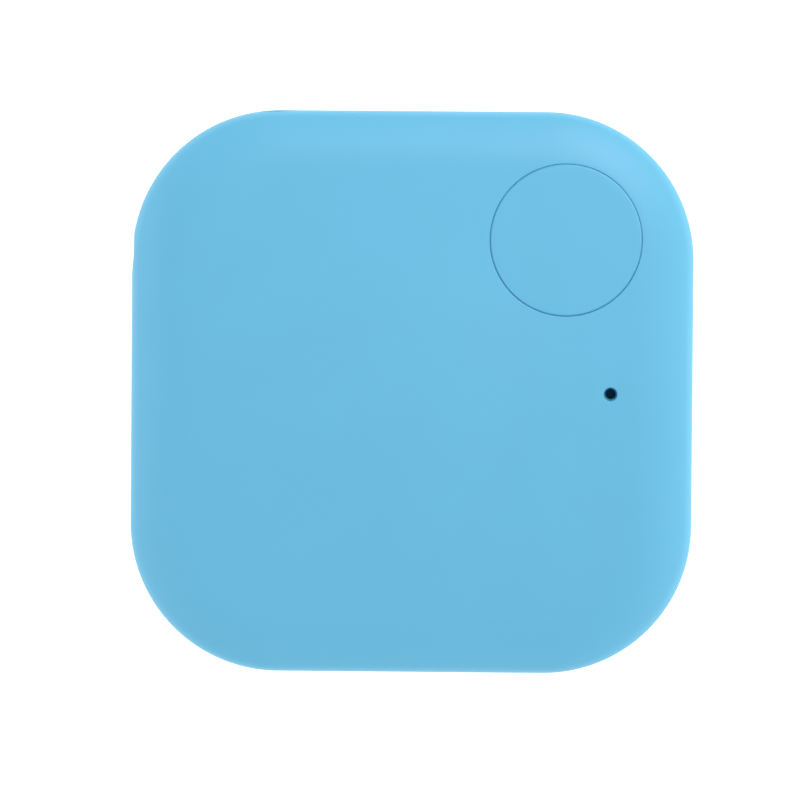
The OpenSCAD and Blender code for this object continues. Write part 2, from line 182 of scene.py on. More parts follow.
def case_stops(corner_steps, side_steps):
    """Evenly spaced distances round the case, closer in the corners."""
    stops = []
    for q in range(4):
        stops += [q * quarter + corner_arc * i / corner_steps for i in range(corner_steps)]
        stops += [q * quarter + corner_arc + 2 * corner_c * i / side_steps for i in range(side_steps)]
    return stops


def at_height(z):
    """Gives what sets a point in plan at a height."""
    return lambda p: p.to_3d() + Vector((0, 0, z))


def raised(loop, z):
    return [at_height(z)(p) for p in loop]


def case_ring(stops, radius, z):
    return raised([on_case(s, radius) for s in stops], z)


def face_height(radius):
    """Height of the front shell's outside at a radius out from the corners' axes."""
    if radius <= big_r:
        return face_z
    if radius <= turn_r:
        return big_z + math.sqrt(shoulder_big ** 2 - (radius - big_r) ** 2)
    return shoulder_z + math.sqrt(max(0.0, shoulder_small ** 2 - (radius - small_r) ** 2))


def side_radius(z):
    """Radius of the front shell's outside at a height on its side."""
    if z <= shoulder_z:
        return corner_r
    return small_r + math.sqrt(max(0.0, shoulder_small ** 2 - (z - shoulder_z) ** 2))


def on_face(x, y):
    return Vector((x, y, face_height(round_case(Vector((x, y)))[1])))


def circle_points(x, y, radius, steps):
    turns = [2 * math.pi * i / steps for i in range(steps)]
    return [Vector((x + radius * math.cos(t), y + radius * math.sin(t))) for t in turns]


def inside(point, loop):
    hit = False
    for a, b in zip(loop, loop[1:] + loop[:1]):
        if (a.y > point.y) != (b.y > point.y):
            if point.x < (b.x - a.x) * (point.y - a.y) / (b.y - a.y) + a.x:
                hit = not hit
    return hit


def skin(bm, points, outline, holes, place, margin=0.16):
    """Triangulates a flat area with holes and places it in space, leaving out points too near a hole."""
    def clear(p):
        for hole in holes:
            if min((p - q).length_squared for q in hole) < margin ** 2 or inside(p, hole):
                return False
        return True

    coords = [p for p in points if clear(p)]
    edges = []
    for loop in [outline] + holes:
        first = len(coords)
        coords += loop
        edges += [(first + i, first + (i + 1) % len(loop)) for i in range(len(loop))]
    flat, _, faces, *_ = delaunay_2d_cdt(coords, edges, [], 0, 1e-7)
    verts = [bm.verts.new(place(p)) for p in flat]
    for face in faces:
        middle = sum((flat[i] for i in face), Vector((0, 0))) / len(face)
        if inside(middle, outline) and not any(inside(middle, hole) for hole in holes):
            bm.faces.new([verts[i] for i in face])


def band(bm, rings):
    """Joins closed rings of the same number of points, one to the next, with four-sided faces."""
    rows = [[bm.verts.new(p) for p in ring] for ring in rings]
    for a, b in zip(rows, rows[1:]):
        for i in range(len(a)):
            j = (i + 1) % len(a)
            bm.faces.new((a[i], a[j], b[j], b[i]))
    return rows


def mouth(outer, corner, inner, steps=4):
    """Rings of the rounding where a hole meets a surface: from outer to inner, bending at corner."""
    rings = []
    for k in range(steps + 1):
        w = k / steps
        ease = ((1 - w) ** 2, 2 * (1 - w) * w, w * w)
        rings.append([ease[0] * a + ease[1] * b + ease[2] * c for a, b, c in zip(outer, corner, inner)])
    return rings


def arc(x, z, radius, start, end, steps):
    """Points of an arc in a section, as (radius, height), by angles in degrees."""
    angles = [math.radians(start + (end - start) * i / steps) for i in range(steps + 1)]
    return [(x + radius * math.cos(a), z + radius * math.sin(a)) for a in angles]


def turned(bm, x, y, section, steps=64, start=0.0, sweep=2 * math.pi):
    """Revolves a closed section of (radius, height) points about an upright axis."""
    whole = sweep > 6.28
    count = steps if whole else steps + 1
    rows = []
    for i in range(count):
        a = start + sweep * i / steps
        rows.append([bm.verts.new((x + r * math.cos(a), y + r * math.sin(a), z)) for r, z in section])
    pairs = zip(rows, rows[1:] + rows[:1]) if whole else zip(rows, rows[1:])
    for a, b in pairs:
        for i in range(len(section)):
            j = (i + 1) % len(section)
            bm.faces.new((a[i], b[i], b[j], a[j]))
    if not whole:
        bm.faces.new(rows[0])
        bm.faces.new(rows[-1][::-1])


def rounded(outline, radius, steps=3):
    """Rounds the corners of a closed outline. A third value on a point is its own radius."""
    out = []
    for i, corner in enumerate(outline):
        p = Vector(corner[:2])
        back = Vector(outline[i - 1][:2]) - p
        ahead = Vector(outline[(i + 1) % len(outline)][:2]) - p
        r = corner[2] if len(corner) > 2 else radius
        if r == 0:
            out.append(p)
            continue
        reach = min(r / math.tan(back.angle(ahead) / 2), 0.49 * back.length, 0.49 * ahead.length)
        start, end = p + back.normalized() * reach, p + ahead.normalized() * reach
        for k in range(steps + 1):
            w = k / steps
            out.append((1 - w) ** 2 * start + 2 * (1 - w) * w * p + w * w * end)
    return out


def to_piece(bm, name, materials, body, nodes, sharp=35):
    """Makes a finished piece, in metres, of a mesh drawn in millimetres, and sets it on its body."""
    bmesh.ops.remove_doubles(bm, verts=bm.verts, dist=0.0004)
    bmesh.ops.dissolve_degenerate(bm, dist=0.0003, edges=bm.edges)
    bmesh.ops.recalc_face_normals(bm, faces=bm.faces)
    bmesh.ops.scale(bm, vec=(MM, MM, MM), verts=bm.verts)
    mesh = bpy.data.meshes.new(name)
    bm.to_mesh(mesh)
    bm.free()
    for material in materials:
        mesh.materials.append(material)
    mesh.shade_smooth()
    mesh.set_sharp_from_angle(angle=math.radians(sharp))
    piece = bpy.data.objects.new(name, mesh)
    bpy.context.scene.collection.objects.link(piece)
    if body:
        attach(piece, body)
    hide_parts(*nodes)
    return piece


# Moulded ABS with a soft matte lacquer: an even sky blue, a broad weak highlight that lifts the
# shoulder, and the spark-eroded grain of the mould, about 0.1 mm, drawn at 0.16 mm so that it shows.
def soft_touch_abs(name, hex_code, roughness=0.46):
    material, tree, shader = new_material(name, Roughness=roughness, IOR=1.5)
    place = add_node(tree, "ShaderNodeTexCoord").outputs["Object"]
    cloud = add_node(tree, "ShaderNodeTexNoise", {"Vector": place, "Scale": 1 / (6 * MM), "Detail": 3.0})
    tint = add_node(tree, "ShaderNodeMix", {"Factor": cloud.outputs["Fac"]}, data_type="RGBA")
    base = linear(hex_code)
    tint.inputs["A"].default_value = [c * 0.975 for c in base[:3]] + [1]
    tint.inputs["B"].default_value = [min(1.0, c * 1.025) for c in base[:3]] + [1]
    tree.links.new(tint.outputs["Result"], shader.inputs["Base Color"])
    grain = add_node(tree, "ShaderNodeTexNoise", {"Vector": place, "Scale": 1 / (0.16 * MM), "Detail": 2.0})
    wave = add_node(tree, "ShaderNodeTexNoise", {"Vector": place, "Scale": 1 / (9 * MM), "Detail": 1.0})
    fine = add_node(
        tree, "ShaderNodeBump",
        {"Height": grain.outputs["Fac"], "Strength": 0.22, "Distance": 0.01 * MM},
    )
    swell = {"Height": wave.outputs["Fac"], "Strength": 0.15, "Distance": 0.05 * MM}
    broad = add_node(tree, "ShaderNodeBump", {**swell, "Normal": fine.outputs["Normal"]})
    tree.links.new(broad.outputs["Normal"], shader.inputs["Normal"])
    return material


case_blue = "#65BBE0"
shell_plastic = soft_touch_abs("Soft-touch ABS, sky blue", case_blue)

stops = case_stops(30, 22)
shell = bmesh.new()

# Lanyard tunnel: where a line along its wall comes out through the side, for both ends
eye = next(m for m in frame["record"]["mounts"] if m["name"] == "lanyard_hole")
eye_centre = Vector(eye["pos_m"]) / MM
eye_along = Vector(eye["axis"]).normalized()
eye_out = Vector((-eye_along.y, eye_along.x, 0))
eye_r = eye["dims"]["r_mm"]
eye_mouth = 0.16
eye_steps = 48
eye_axis_r = (eye_centre.to_2d() - Vector((-corner_c, corner_c))).length
turns = [2 * math.pi * i / eye_steps for i in range(eye_steps)]


def eye_point(turn, radius, along):
    off = math.cos(turn) * eye_out + math.sin(turn) * Vector((0, 0, 1))
    return eye_centre + radius * off + along * eye_along


def eye_exit(turn, radius, end):
    near, far = 0.0, 11.0
    for _ in range(40):
        middle = (near + far) / 2
        p = eye_point(turn, radius, end * middle)
        if round_case(p)[1] < side_radius(p.z):
            near = middle
        else:
            far = middle
    return end * near


def across_wall(radius, wall_r, end):
    """Where a tube along the tunnel meets an upright cylinder about the corner's centre."""
    ring = []
    for turn in turns:
        off = eye_axis_r + radius * math.cos(turn)
        p = eye_point(turn, radius, end * math.sqrt(wall_r ** 2 - off ** 2))
        p.z = max(p.z, wall_low)
        ring.append(p)
    return ring


def on_side(p):
    """The side unrolled: distance round, and height measured along the shoulder's small arc."""
    if p.z <= shoulder_z:
        return Vector((round_case(p)[0], p.z))
    return Vector((round_case(p)[0], shoulder_z + math.asin(min(1.0, p.z - shoulder_z))))


def roll_up(flat):
    if flat.y <= shoulder_z:
        return on_case(flat.x, corner_r).to_3d() + Vector((0, 0, flat.y))
    turn = flat.y - shoulder_z
    r = small_r + shoulder_small * math.cos(turn)
    return on_case(flat.x, r).to_3d() + Vector((0, 0, shoulder_z + math.sin(turn)))


side_low = wall_low + seam_edge
side_top = shoulder_z + shoulder_turn
side_rows = [side_low + (shoulder_z - side_low) * i / 4 for i in range(5)]
side_rows += [shoulder_z + shoulder_turn * i / 8 for i in range(1, 9)]
round_stops = stops + [4 * quarter]
eye_mouths = []
eye_ends = []
for end in (1, -1):
    exits = [eye_exit(t, eye_r, end) for t in turns]
    flare = [eye_point(t, eye_r + eye_mouth, eye_exit(t, eye_r + eye_mouth, end)) for t in turns]
    lip = [eye_point(t, eye_r, s) for t, s in zip(turns, exits)]
    throat = [eye_point(t, eye_r, s - end * 0.4) for t, s in zip(turns, exits)]
    eye_mouths.append([on_side(p) for p in flare])
    eye_ends.append(band(shell, mouth(flare, lip, throat) + [across_wall(eye_r, inner_r - 0.1, end)])[-1])
side_outline = [Vector((s, side_low)) for s in round_stops]
side_outline += [Vector((4 * quarter, v)) for v in side_rows[1:-1]]
side_outline += [Vector((s, side_top)) for s in round_stops[::-1]]
side_outline += [Vector((0, v)) for v in side_rows[-2:0:-1]]
side_points = [Vector((s, v)) for s in stops[1:] for v in side_rows[1:-1]]
skin(shell, side_points, side_outline, eye_mouths, roll_up)

# Face: the big arc of the shoulder and the flat middle, with the button's opening and the sound hole
button_low = in_mm(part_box("button_cap"))[0]
button_x = button_y = 10.1
opening_r = 5.01
port_x, port_y, port_r = 13.1, 0.0, 0.45
opening_edge = 0.06
port_edge, port_draft = 0.08, 0.12
opening_steps = 160
port_steps = 32


def face_hole(x, y, radius, edge, draft, steps):
    """An upright hole, tightening by its draft from the face to the roof. Returns its end rings in plan."""
    wide = circle_points(x, y, radius + edge, steps)
    outer = [on_face(*p) for p in wide]
    corner = [on_face(*p) for p in circle_points(x, y, radius, steps)]
    inner = [p - Vector((0, 0, edge)) for p in corner]
    tight = circle_points(x, y, radius - draft, steps)
    band(shell, mouth(outer, corner, inner) + [raised(tight, roof_z)])
    return wide, tight


opening_wide, opening_tight = face_hole(button_x, button_y, opening_r, opening_edge, 0, opening_steps)
port_wide, port_tight = face_hole(port_x, port_y, port_r, port_edge, port_draft, port_steps)
face_radii = [turn_r + (big_r - turn_r) * i / 14 for i in range(1, 15)] + [big_r - 1.5, big_r - 3.5]
face_points = [on_case(s, r) for r in face_radii for s in stops]
face_outline = [on_case(s, turn_r) for s in stops]
skin(shell, face_points, face_outline, [opening_wide, port_wide], lambda p: on_face(p.x, p.y))

# Inside: rounded seam edge, rebate over the rear shell's tongue, wall, fillet and roof
rebate_r = corner_r - 0.6
rebate_z = 3.52
section = arc(corner_r - seam_edge, side_low, seam_edge, 0, -90, 3)
wall_line = [(rebate_r + 0.08, wall_low), (rebate_r, wall_low + 0.08), (rebate_r, rebate_z)]
wall_line += [(inner_r + 0.05, rebate_z), (inner_r, rebate_z + 0.05), (inner_r, roof_z - inner_fillet)]
wall_line = [Vector(p) for p in wall_line]
for a, b in zip(wall_line, wall_line[1:]):
    count = math.ceil((b - a).length / 0.2)
    section += [a.lerp(b, i / count) for i in range(count)]
section += arc(inner_r - inner_fillet, roof_z - inner_fillet, inner_fillet, 0, 90, 8)
rows = band(shell, [case_ring(stops, r, z) for r, z in section])


def from_eye(p):
    """Distance from the tunnel's axis."""
    off = p - eye_centre
    return (off - off.dot(eye_along) * eye_along).length


# The wall's inner face opens for the tunnel, and each opening is joined to that end of the tunnel
faces = {face for row in rows for vert in row for face in vert.link_faces}
opened = [face for face in faces if min(from_eye(v.co) for v in face.verts) < eye_r + 0.04]
rims = {v for face in opened for v in face.verts}
bmesh.ops.delete(shell, geom=opened, context="FACES")
for end, last in zip((1, -1), eye_ends):
    rim = [v for v in rims if v.is_valid and end * (v.co - eye_centre).dot(eye_along) > 0]
    edges = {e for v in rim + last for e in v.link_edges}
    bmesh.ops.bridge_loops(shell, edges=[e for e in edges if len(e.link_faces) == 1])
roof_outline = [on_case(s, inner_r - inner_fillet) for s in stops]
skin(shell, [], roof_outline, [opening_tight, port_tight], at_height(roof_z))

# Button guide with its slot, sound duct, board posts, lanyard boss and the marks of the ejector pins
guide_low = 4.95
guide_in, guide_out = 5.98, 6.78
key_half = 0.6
slot_turn = math.asin(key_half / guide_in)
sunk = roof_z + 0.02
guide = [(guide_in, guide_low), (guide_out, guide_low), (guide_out, sunk, 0), (guide_in, sunk, 0)]
guide_sweep = 2 * math.pi - 2 * slot_turn
turned(shell, button_x, button_y, rounded(guide, 0.08), 120, math.pi + slot_turn, guide_sweep)
duct_in, duct_out, duct_low = 0.8, 1.5, 5.25
duct = [(duct_in, duct_low), (duct_out, duct_low), (duct_out + 0.08, sunk, 0), (duct_in, sunk, 0)]
turned(shell, port_x, port_y, rounded(duct, 0.06), 48)
post_low, post_root, post_r = front_low.z, 5.2, 0.6
post = [(0, post_low, 0), (0.56, post_low), (post_r, post_root, 0), (0.85, sunk, 0), (0, sunk, 0)]
for x, y in ((15.9, 5), (11.9, -13.6), (-13, 4)):
    turned(shell, x, y, rounded(post, 0.06), 32)
pin_mark_r, pin_mark_z = 1.2, roof_z - 0.03
mark = [(0, pin_mark_z), (pin_mark_r - 0.02, pin_mark_z), (pin_mark_r, roof_z - 0.01)]
mark += [(pin_mark_r, sunk), (0, sunk)]
for x, y in ((-12, -12), (3, -13.2), (-13.2, 0.5), (0, 12.8), (0, 0)):
    turned(shell, x, y, mark, 48)
boss_r = eye_r + 0.65
boss_end = inner_r + 0.45
corners = ((eye_r + 0.02, 1), (eye_r + 0.02, -1), (boss_r, -1), (boss_r, 1), (eye_r + 0.02, 1))
band(shell, [across_wall(radius, boss_end, end) for radius, end in corners])
to_piece(shell, "front_shell_moulding", [shell_plastic], "front_case", ["front_shell"])


# ---- Button ----
# A flush round key of the same lacquered ABS, with a flat face and drafted sides that all but close the
# gap below the surface. Behind, it is cored out, with ribs, a flange and lug for the guide, and a stem.
cap_r = opening_r - 0.08
cap_edge = 0.06
cap_draft, draft_depth = 0.06, 0.1
cap_t = 0.85
cap_wall = 0.7
flange_r = cap_r + 0.85
flange_low, flange_top = roof_z - 0.5, roof_z - 0.04
hub_r, hub_low = 1.6, 4.45
stem_r, stem_low = 1.0, button_low.z
cap_steps = 144
cap_floor = face_z - cap_t

key = bmesh.new()
face_points = [Vector((button_x, button_y))]
for radius in (1.0, 2.0, 3.0, 3.8, 4.4):
    face_points += circle_points(button_x, button_y, radius, int(radius * 16))
cap_rim = circle_points(button_x, button_y, cap_r - cap_edge, cap_steps)
cap_side = circle_points(button_x, button_y, cap_r, cap_steps)
skin(key, face_points, cap_rim, [], at_height(face_z))
outer, corner = raised(cap_rim, face_z), raised(cap_side, face_z)
inner = [p - Vector((0, 0, cap_edge)) for p in corner]
section = rounded([
    (cap_r + cap_draft, face_z - draft_depth, 0), (cap_r + cap_draft, flange_top, 0),
    (flange_r, flange_top), (flange_r, flange_low), (cap_r - cap_wall, flange_low),
    (cap_r - cap_wall, cap_floor), (hub_r, cap_floor, 0), (hub_r, hub_low), (stem_r, hub_low, 0),
    (stem_r, stem_low), (0, stem_low, 0),
], 0.08)
rings = mouth(outer, corner, inner)
for r, z in section:
    rings.append(raised(circle_points(button_x, button_y, r, cap_steps), z))
band(key, rings)


def soft_box(bm, size, middle, edge=0.05, turn=0.0, steps=2):
    """A box with rounded edges, turned about an upright axis."""
    box = bmesh.ops.create_cube(bm, size=1)["verts"]
    bmesh.ops.scale(bm, vec=size, verts=box)
    edges = list(dict.fromkeys(e for v in box for e in v.link_edges))
    made = bmesh.ops.bevel(bm, geom=edges, offset=edge, segments=steps, profile=0.5, affect="EDGES")
    verts = list(dict.fromkeys(v for f in made["faces"] for v in f.verts))
    bmesh.ops.rotate(bm, verts=verts, matrix=Matrix.Rotation(turn, 3, "Z"))
    bmesh.ops.translate(bm, verts=verts, vec=middle)


rib_low = flange_low + 0.1
rib_h = cap_floor + 0.02 - rib_low
for i in range(4):
    size = (2 * (cap_r - cap_wall) + 0.2, 0.5, rib_h)
    soft_box(key, size, (button_x, button_y, rib_low + rib_h / 2), 0.05, i * math.pi / 4)
lug_reach = guide_in + 0.5
lug_mid = (button_x - (lug_reach + cap_r) / 2, button_y, (flange_low + flange_top) / 2)
soft_box(key, (lug_reach - cap_r, 2 * key_half - 0.2, flange_top - flange_low), lug_mid, 0.06)
cap_plastic = soft_touch_abs("Soft-touch ABS, sky blue button", case_blue, 0.44)
to_piece(key, "button_moulding", [cap_plastic], "button", ["button_cap"])


# ---- Button membrane ----
# A thin ring of moulded silicone rubber, trapped between the guide and the board side. Its cone lifts
# the button back up and keeps dust out, and it bends between the shell and the button.
membrane_low, membrane_high = in_mm(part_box("button_membrane"))
membrane_r = membrane_high.x - button_x
rim_top, rim_low = membrane_high.z, membrane_high.z - 0.3
cone_top, cone_low = membrane_low.z + 0.3, membrane_low.z
cone_r = guide_in - 0.3
section = rounded([
    (stem_r + 0.03, cone_low), (2.4, cone_low, 0.2), (cone_r, rim_low, 0.2), (membrane_r, rim_low),
    (membrane_r, rim_top), (cone_r, rim_top, 0.2), (2.4, cone_top, 0.2), (stem_r + 0.03, cone_top),
], 0.07, 4)
rubber = bmesh.new()
turned(rubber, button_x, button_y, section, 96)


def pattern_on(tree, shader, pattern, tones, depth=0.0):
    """Colours a material by a pattern, in (place, hex colour) tones, and embosses it by a depth."""
    ramp = [(place, linear(colour)) for place, colour in tones]
    tone = add_node(tree, "ShaderNodeValToRGB", {"Fac": pattern}, ramp)
    tree.links.new(tone.outputs["Color"], shader.inputs["Base Color"])
    if depth:
        bump = add_node(tree, "ShaderNodeBump", {"Height": pattern, "Distance": depth * MM})
        tree.links.new(bump.outputs["Normal"], shader.inputs["Normal"])


# Milky silicone: light goes a little way in, with a soft sheen and a dusting of fine marks.
silicone, tree, shader = new_material(
    "Moulded silicone, milky", Roughness=0.42, IOR=1.41, Subsurface_Weight=0.25, Subsurface_Scale=0.4 * MM,
)
place = add_node(tree, "ShaderNodeTexCoord").outputs["Object"]
dust = add_node(tree, "ShaderNodeTexNoise", {"Vector": place, "Scale": 1 / (0.5 * MM), "Detail": 3.0})
pattern_on(tree, shader, dust.outputs["Fac"], ((0, "#C9CFD0"), (1, "#E2E6E6")))
membrane = to_piece(rubber, "membrane_ring", [silicone], None, ["button_membrane"])
bend_from = (button_x * MM, button_y * MM, rim_low * MM)
bend_to = (button_x * MM, button_y * MM, cone_top * MM)
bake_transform(membrane, "front_case", "button", bend_from, bend_to)


# ---- Sound gasket and cell pad ----
# Two die-cut pieces of dark polyurethane foam with glue on one side: a ring that seals the sounder to
# the sound duct, and a disc on the roof that presses the coin cell down.
gasket_low, gasket_high = in_mm(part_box("sound_gasket"))
pad_low, pad_high = in_mm(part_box("cell_pad"))
cell_x, cell_y = (pad_low.x + pad_high.x) / 2, (pad_low.y + pad_high.y) / 2


def ring_section(r_in, r_out, low, high, edge=0.05):
    """Section of a flat ring or, with no inner radius, of a disc."""
    hub = 0 if r_in == 0 else edge
    return rounded([(r_in, low, hub), (r_out, low), (r_out, high), (r_in, high, hub)], edge)


def grained(name, dark, light, grain, depth, detail=2.0, **shader_inputs):
    """A material mottled between two colours by a grain of a given size and depth, in millimetres."""
    material, tree, shader = new_material(name, **shader_inputs)
    place = add_node(tree, "ShaderNodeTexCoord").outputs["Object"]
    size = {"Scale": 1 / (grain * MM), "Detail": detail}
    noise = add_node(tree, "ShaderNodeTexNoise", {"Vector": place, **size})
    pattern_on(tree, shader, noise.outputs["Fac"], ((0.3, dark), (0.7, light)), depth)
    return material


def turned_piece(name, material, body, node, x, y, section, steps):
    """A piece that is one section revolved about an upright axis."""
    bm = bmesh.new()
    turned(bm, x, y, section, steps)
    return to_piece(bm, name, [material], body, [node])


# Open-cell polyurethane foam: matt near-black with pores of about 0.25 mm that break the light up.
foam = grained("Polyurethane foam", "#17191A", "#3A3D3F", 0.25, 0.12, 4.0, Roughness=0.95, IOR=1.5)
section = ring_section(0.85, gasket_high.x - port_x, gasket_low.z, gasket_high.z)
turned_piece("sound_gasket_ring", foam, "front_case", "sound_gasket", port_x, port_y, section, 48)
section = ring_section(0, pad_high.x - cell_x, pad_low.z, pad_high.z)
turned_piece("cell_pad_disc", foam, "front_case", "cell_pad", cell_x, cell_y, section, 96)


# ---- Rear shell ----
# The half that the tag lies on, of the same moulded ABS: a flat back with a round edge, a tongue that
# the front shell drops over, a slot to pry the case open, and the pads and heat-staked pins of the board.
rear_high = in_mm(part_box("rear_shell"))[1]
floor_z = 0.9
rear_edge = 1.4
rear_fillet = 0.6
tongue_top = rear_high.z
tongue_out = inner_r + 0.5
tongue_edge = 0.1
pry_half, pry_z, pry_depth = 3.5, 1.7, 0.55
board_low, board_high = in_mm(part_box("circuit_board"))

# Each step in the wall has a stop just before it and one just after, so that it comes out square
pry_middle = 2 * quarter + corner_arc + corner_c
tongue_gap_x = -7.0
gap_from = corner_arc + corner_c - tongue_gap_x
gap_to = 2 * quarter + corner_arc - gap_from
beside = 1e-4
rear_stops = list(stops)
for step in (pry_middle - pry_half, pry_middle + pry_half, gap_from, gap_to):
    rear_stops = [s for s in rear_stops if abs(s - step) > 0.1] + [step - beside, step + beside]
rear_stops.sort()

seam_arc = arc(corner_r - seam_edge, seam_z - seam_edge, seam_edge, 0, 90, 3)
outside = arc(corner_r - rear_edge, rear_edge, rear_edge, -90, 0, 10)
wall_plain = [(corner_r, pry_z), (corner_r, pry_z)] + seam_arc
wall_pried = [(corner_r, pry_z), (corner_r - pry_depth, pry_z)]
wall_pried += [(corner_r - pry_depth, seam_z)] * len(seam_arc)
tongue_plain = rounded([(tongue_out, tongue_top), (inner_r, tongue_top), (inner_r, seam_z)], tongue_edge)[:8]
tongue_cut = [(tongue_out, seam_z)] * 4 + [(inner_r, seam_z)] * 4
inside_arc = arc(inner_r - rear_fillet, floor_z + rear_fillet, rear_fillet, 0, -90, 6)


def rear_section(s):
    wall_part = wall_pried if abs(s - pry_middle) < pry_half else wall_plain
    tongue_part = tongue_cut if gap_from < s < gap_to else tongue_plain
    return outside + wall_part + [(tongue_out, seam_z)] + tongue_part + inside_arc


back = bmesh.new()
sections = [rear_section(s) for s in rear_stops]
rings = []
for k in range(len(sections[0])):
    rings.append([
        on_case(s, section[k][0]).to_3d() + Vector((0, 0, section[k][1]))
        for s, section in zip(rear_stops, sections)
    ])
rows = band(back, rings)
back.faces.new(rows[0])
back.faces.new(rows[-1])

bead_out, bead_w, bead_h, bead_up = 0.16, 7.0, 0.3, 0.6
for i in range(4):
    turn = Matrix.Rotation(i * math.pi / 2, 3, "Z")
    at = turn @ Vector((corner_c + tongue_out, 0, seam_z + bead_up))
    soft_box(back, (bead_out, bead_w, bead_h), at, 0.07, i * math.pi / 2)
pad_r = 1.2
root_z = floor_z - 0.02
pad = [(0, root_z), (pad_r + 0.08, root_z), (pad_r, floor_z + 0.08)]
pad += [(pad_r - 0.06, board_low.z), (0, board_low.z)]
for x, y in ((-13, -13), (-15, 0), (0, -15), (13, -13), (15.2, 6), (4, 15), (-8, 14.6)):
    turned(back, x, y, pad, 40)
board_top = board_high.z
pin_r, head_r, dome_r = 0.6, 1.0, 1.68
pin_places = ((14, -10.2), (-13.6, 6.9))
pin = [(0, root_z), (pin_r, root_z), (pin_r, board_top + 0.02), (head_r, board_top + 0.02)]
pin += arc(0, board_top + 0.02 - 1.35, dome_r, 53, 90, 6)
for x, y in pin_places:
    turned(back, x, y, pin, 40)
mark_r, mark_top = 1.3, floor_z + 0.03
mark = [(0, root_z), (mark_r, root_z), (mark_r, floor_z + 0.02), (mark_r - 0.03, mark_top), (0, mark_top)]
for x, y in ((-9, 9), (9, 9), (-9, -9), (9, -9), (0, 0)):
    turned(back, x, y, mark, 40)
rear_plastic = soft_touch_abs("Soft-touch ABS, sky blue back", "#63B4DC", 0.5)
to_piece(back, "rear_shell_moulding", [rear_plastic], "rear_case", ["rear_shell"])


# ---- Circuit board ----
# A rounded square of 0.8 mm glass-epoxy laminate under green solder mask, with holes for the two
# heat-staked pins and the cell holder's pegs. Copper tracks and stitching vias show through the mask.
board_r = board_high.x - corner_c
pin_hole_r = 0.65
peg_hole_r = 0.5
peg_reach = 10.6
peg_places = []
for turn in (3 * math.pi / 4, -math.pi / 4):
    peg_places.append((cell_x + peg_reach * math.cos(turn), cell_y + peg_reach * math.sin(turn)))
board_holes = [circle_points(x, y, pin_hole_r, 32) for x, y in pin_places]
board_holes += [circle_points(x, y, peg_hole_r, 32) for x, y in peg_places]
board_outline = [on_case(s, board_r) for s in stops]
board = bmesh.new()
for z in (board_low.z, board_top):
    skin(board, [], board_outline, board_holes, at_height(z))
for loop in [board_outline] + board_holes:
    band(board, [raised(loop, z) for z in (board_low.z, board_top)])
bmesh.ops.recalc_face_normals(board, faces=board.faces)
for face in board.faces:
    face.material_index = 1 if abs(face.normal.z) < 0.5 else 0

# Green solder mask: a glossy translucent lacquer over the weave of the glass cloth, 0.45 mm apart,
# which shows as faint squares.
mask, tree, shader = new_material(
    "Green solder mask", Roughness=0.28, IOR=1.5, Coat_Weight=0.5, Coat_Roughness=0.15,
)
place = add_node(tree, "ShaderNodeTexCoord").outputs["Object"]
cloth_scale = 2 * math.pi / 20 / (0.45 * MM)
yarn = {"Vector": place, "Scale": cloth_scale, "Distortion": 0.4}
weft = add_node(tree, "ShaderNodeTexWave", yarn, bands_direction="X").outputs["Fac"]
warp = add_node(tree, "ShaderNodeTexWave", yarn, bands_direction="Y").outputs["Fac"]
cloth = add_node(tree, "ShaderNodeMath", {0: weft, 1: warp}, operation="MULTIPLY")
pattern_on(tree, shader, cloth.outputs[0], ((0, "#1A6340"), (1, "#20704A")), 0.003)
# Routed glass-epoxy edge: pale olive with a fibrous, dry surface.
laminate = grained("Routed glass epoxy", "#8E8A58", "#B5B07E", 0.12, 0.03, Roughness=0.8, IOR=1.5)
to_piece(board, "board_laminate", [mask, laminate], "rear_case", ["circuit_board"])


def solids(node):
    """The lowest and highest corners, in millimetres, of each separate solid in a CAD node."""
    bm = bmesh.new()
    bm.from_mesh(frame["nodes"][node].data)
    bmesh.ops.remove_doubles(bm, verts=bm.verts, dist=1e-7)
    left = set(bm.verts)
    boxes = []
    while left:
        queue = [left.pop()]
        found = list(queue)
        while queue:
            for edge in queue.pop().link_edges:
                for v in edge.verts:
                    if v in left:
                        left.remove(v)
                        queue.append(v)
                        found.append(v)
        corners = [Vector(pick(v.co[i] for v in found) for i in range(3)) / MM for pick in (min, max)]
        boxes.append(corners)
    bm.free()
    return sorted(boxes, key=lambda pair: (round(pair[0].x, 3), round(pair[0].y, 3)))


def new_tree(name, sockets):
    """A Geometry Nodes tree with a Geometry input and output and named inputs. Returns its end nodes too."""
    tree = bpy.data.node_groups.new(name, "GeometryNodeTree")
    tree.interface.new_socket("Geometry", in_out="INPUT", socket_type="NodeSocketGeometry")
    for socket, kind in sockets.items():
        tree.interface.new_socket(socket, in_out="INPUT", socket_type="NodeSocket" + kind)
    tree.interface.new_socket("Geometry", in_out="OUTPUT", socket_type="NodeSocketGeometry")
    return tree, add_node(tree, "NodeGroupInput").outputs


def end_tree(tree, geometry, finish):
    real = add_node(tree, "GeometryNodeRealizeInstances", {"Geometry": geometry})
    painted = add_node(tree, "GeometryNodeSetMaterial", {"Geometry": real.outputs[0], "Material": finish})
    add_node(tree, "NodeGroupOutput", {"Geometry": painted.outputs[0]})


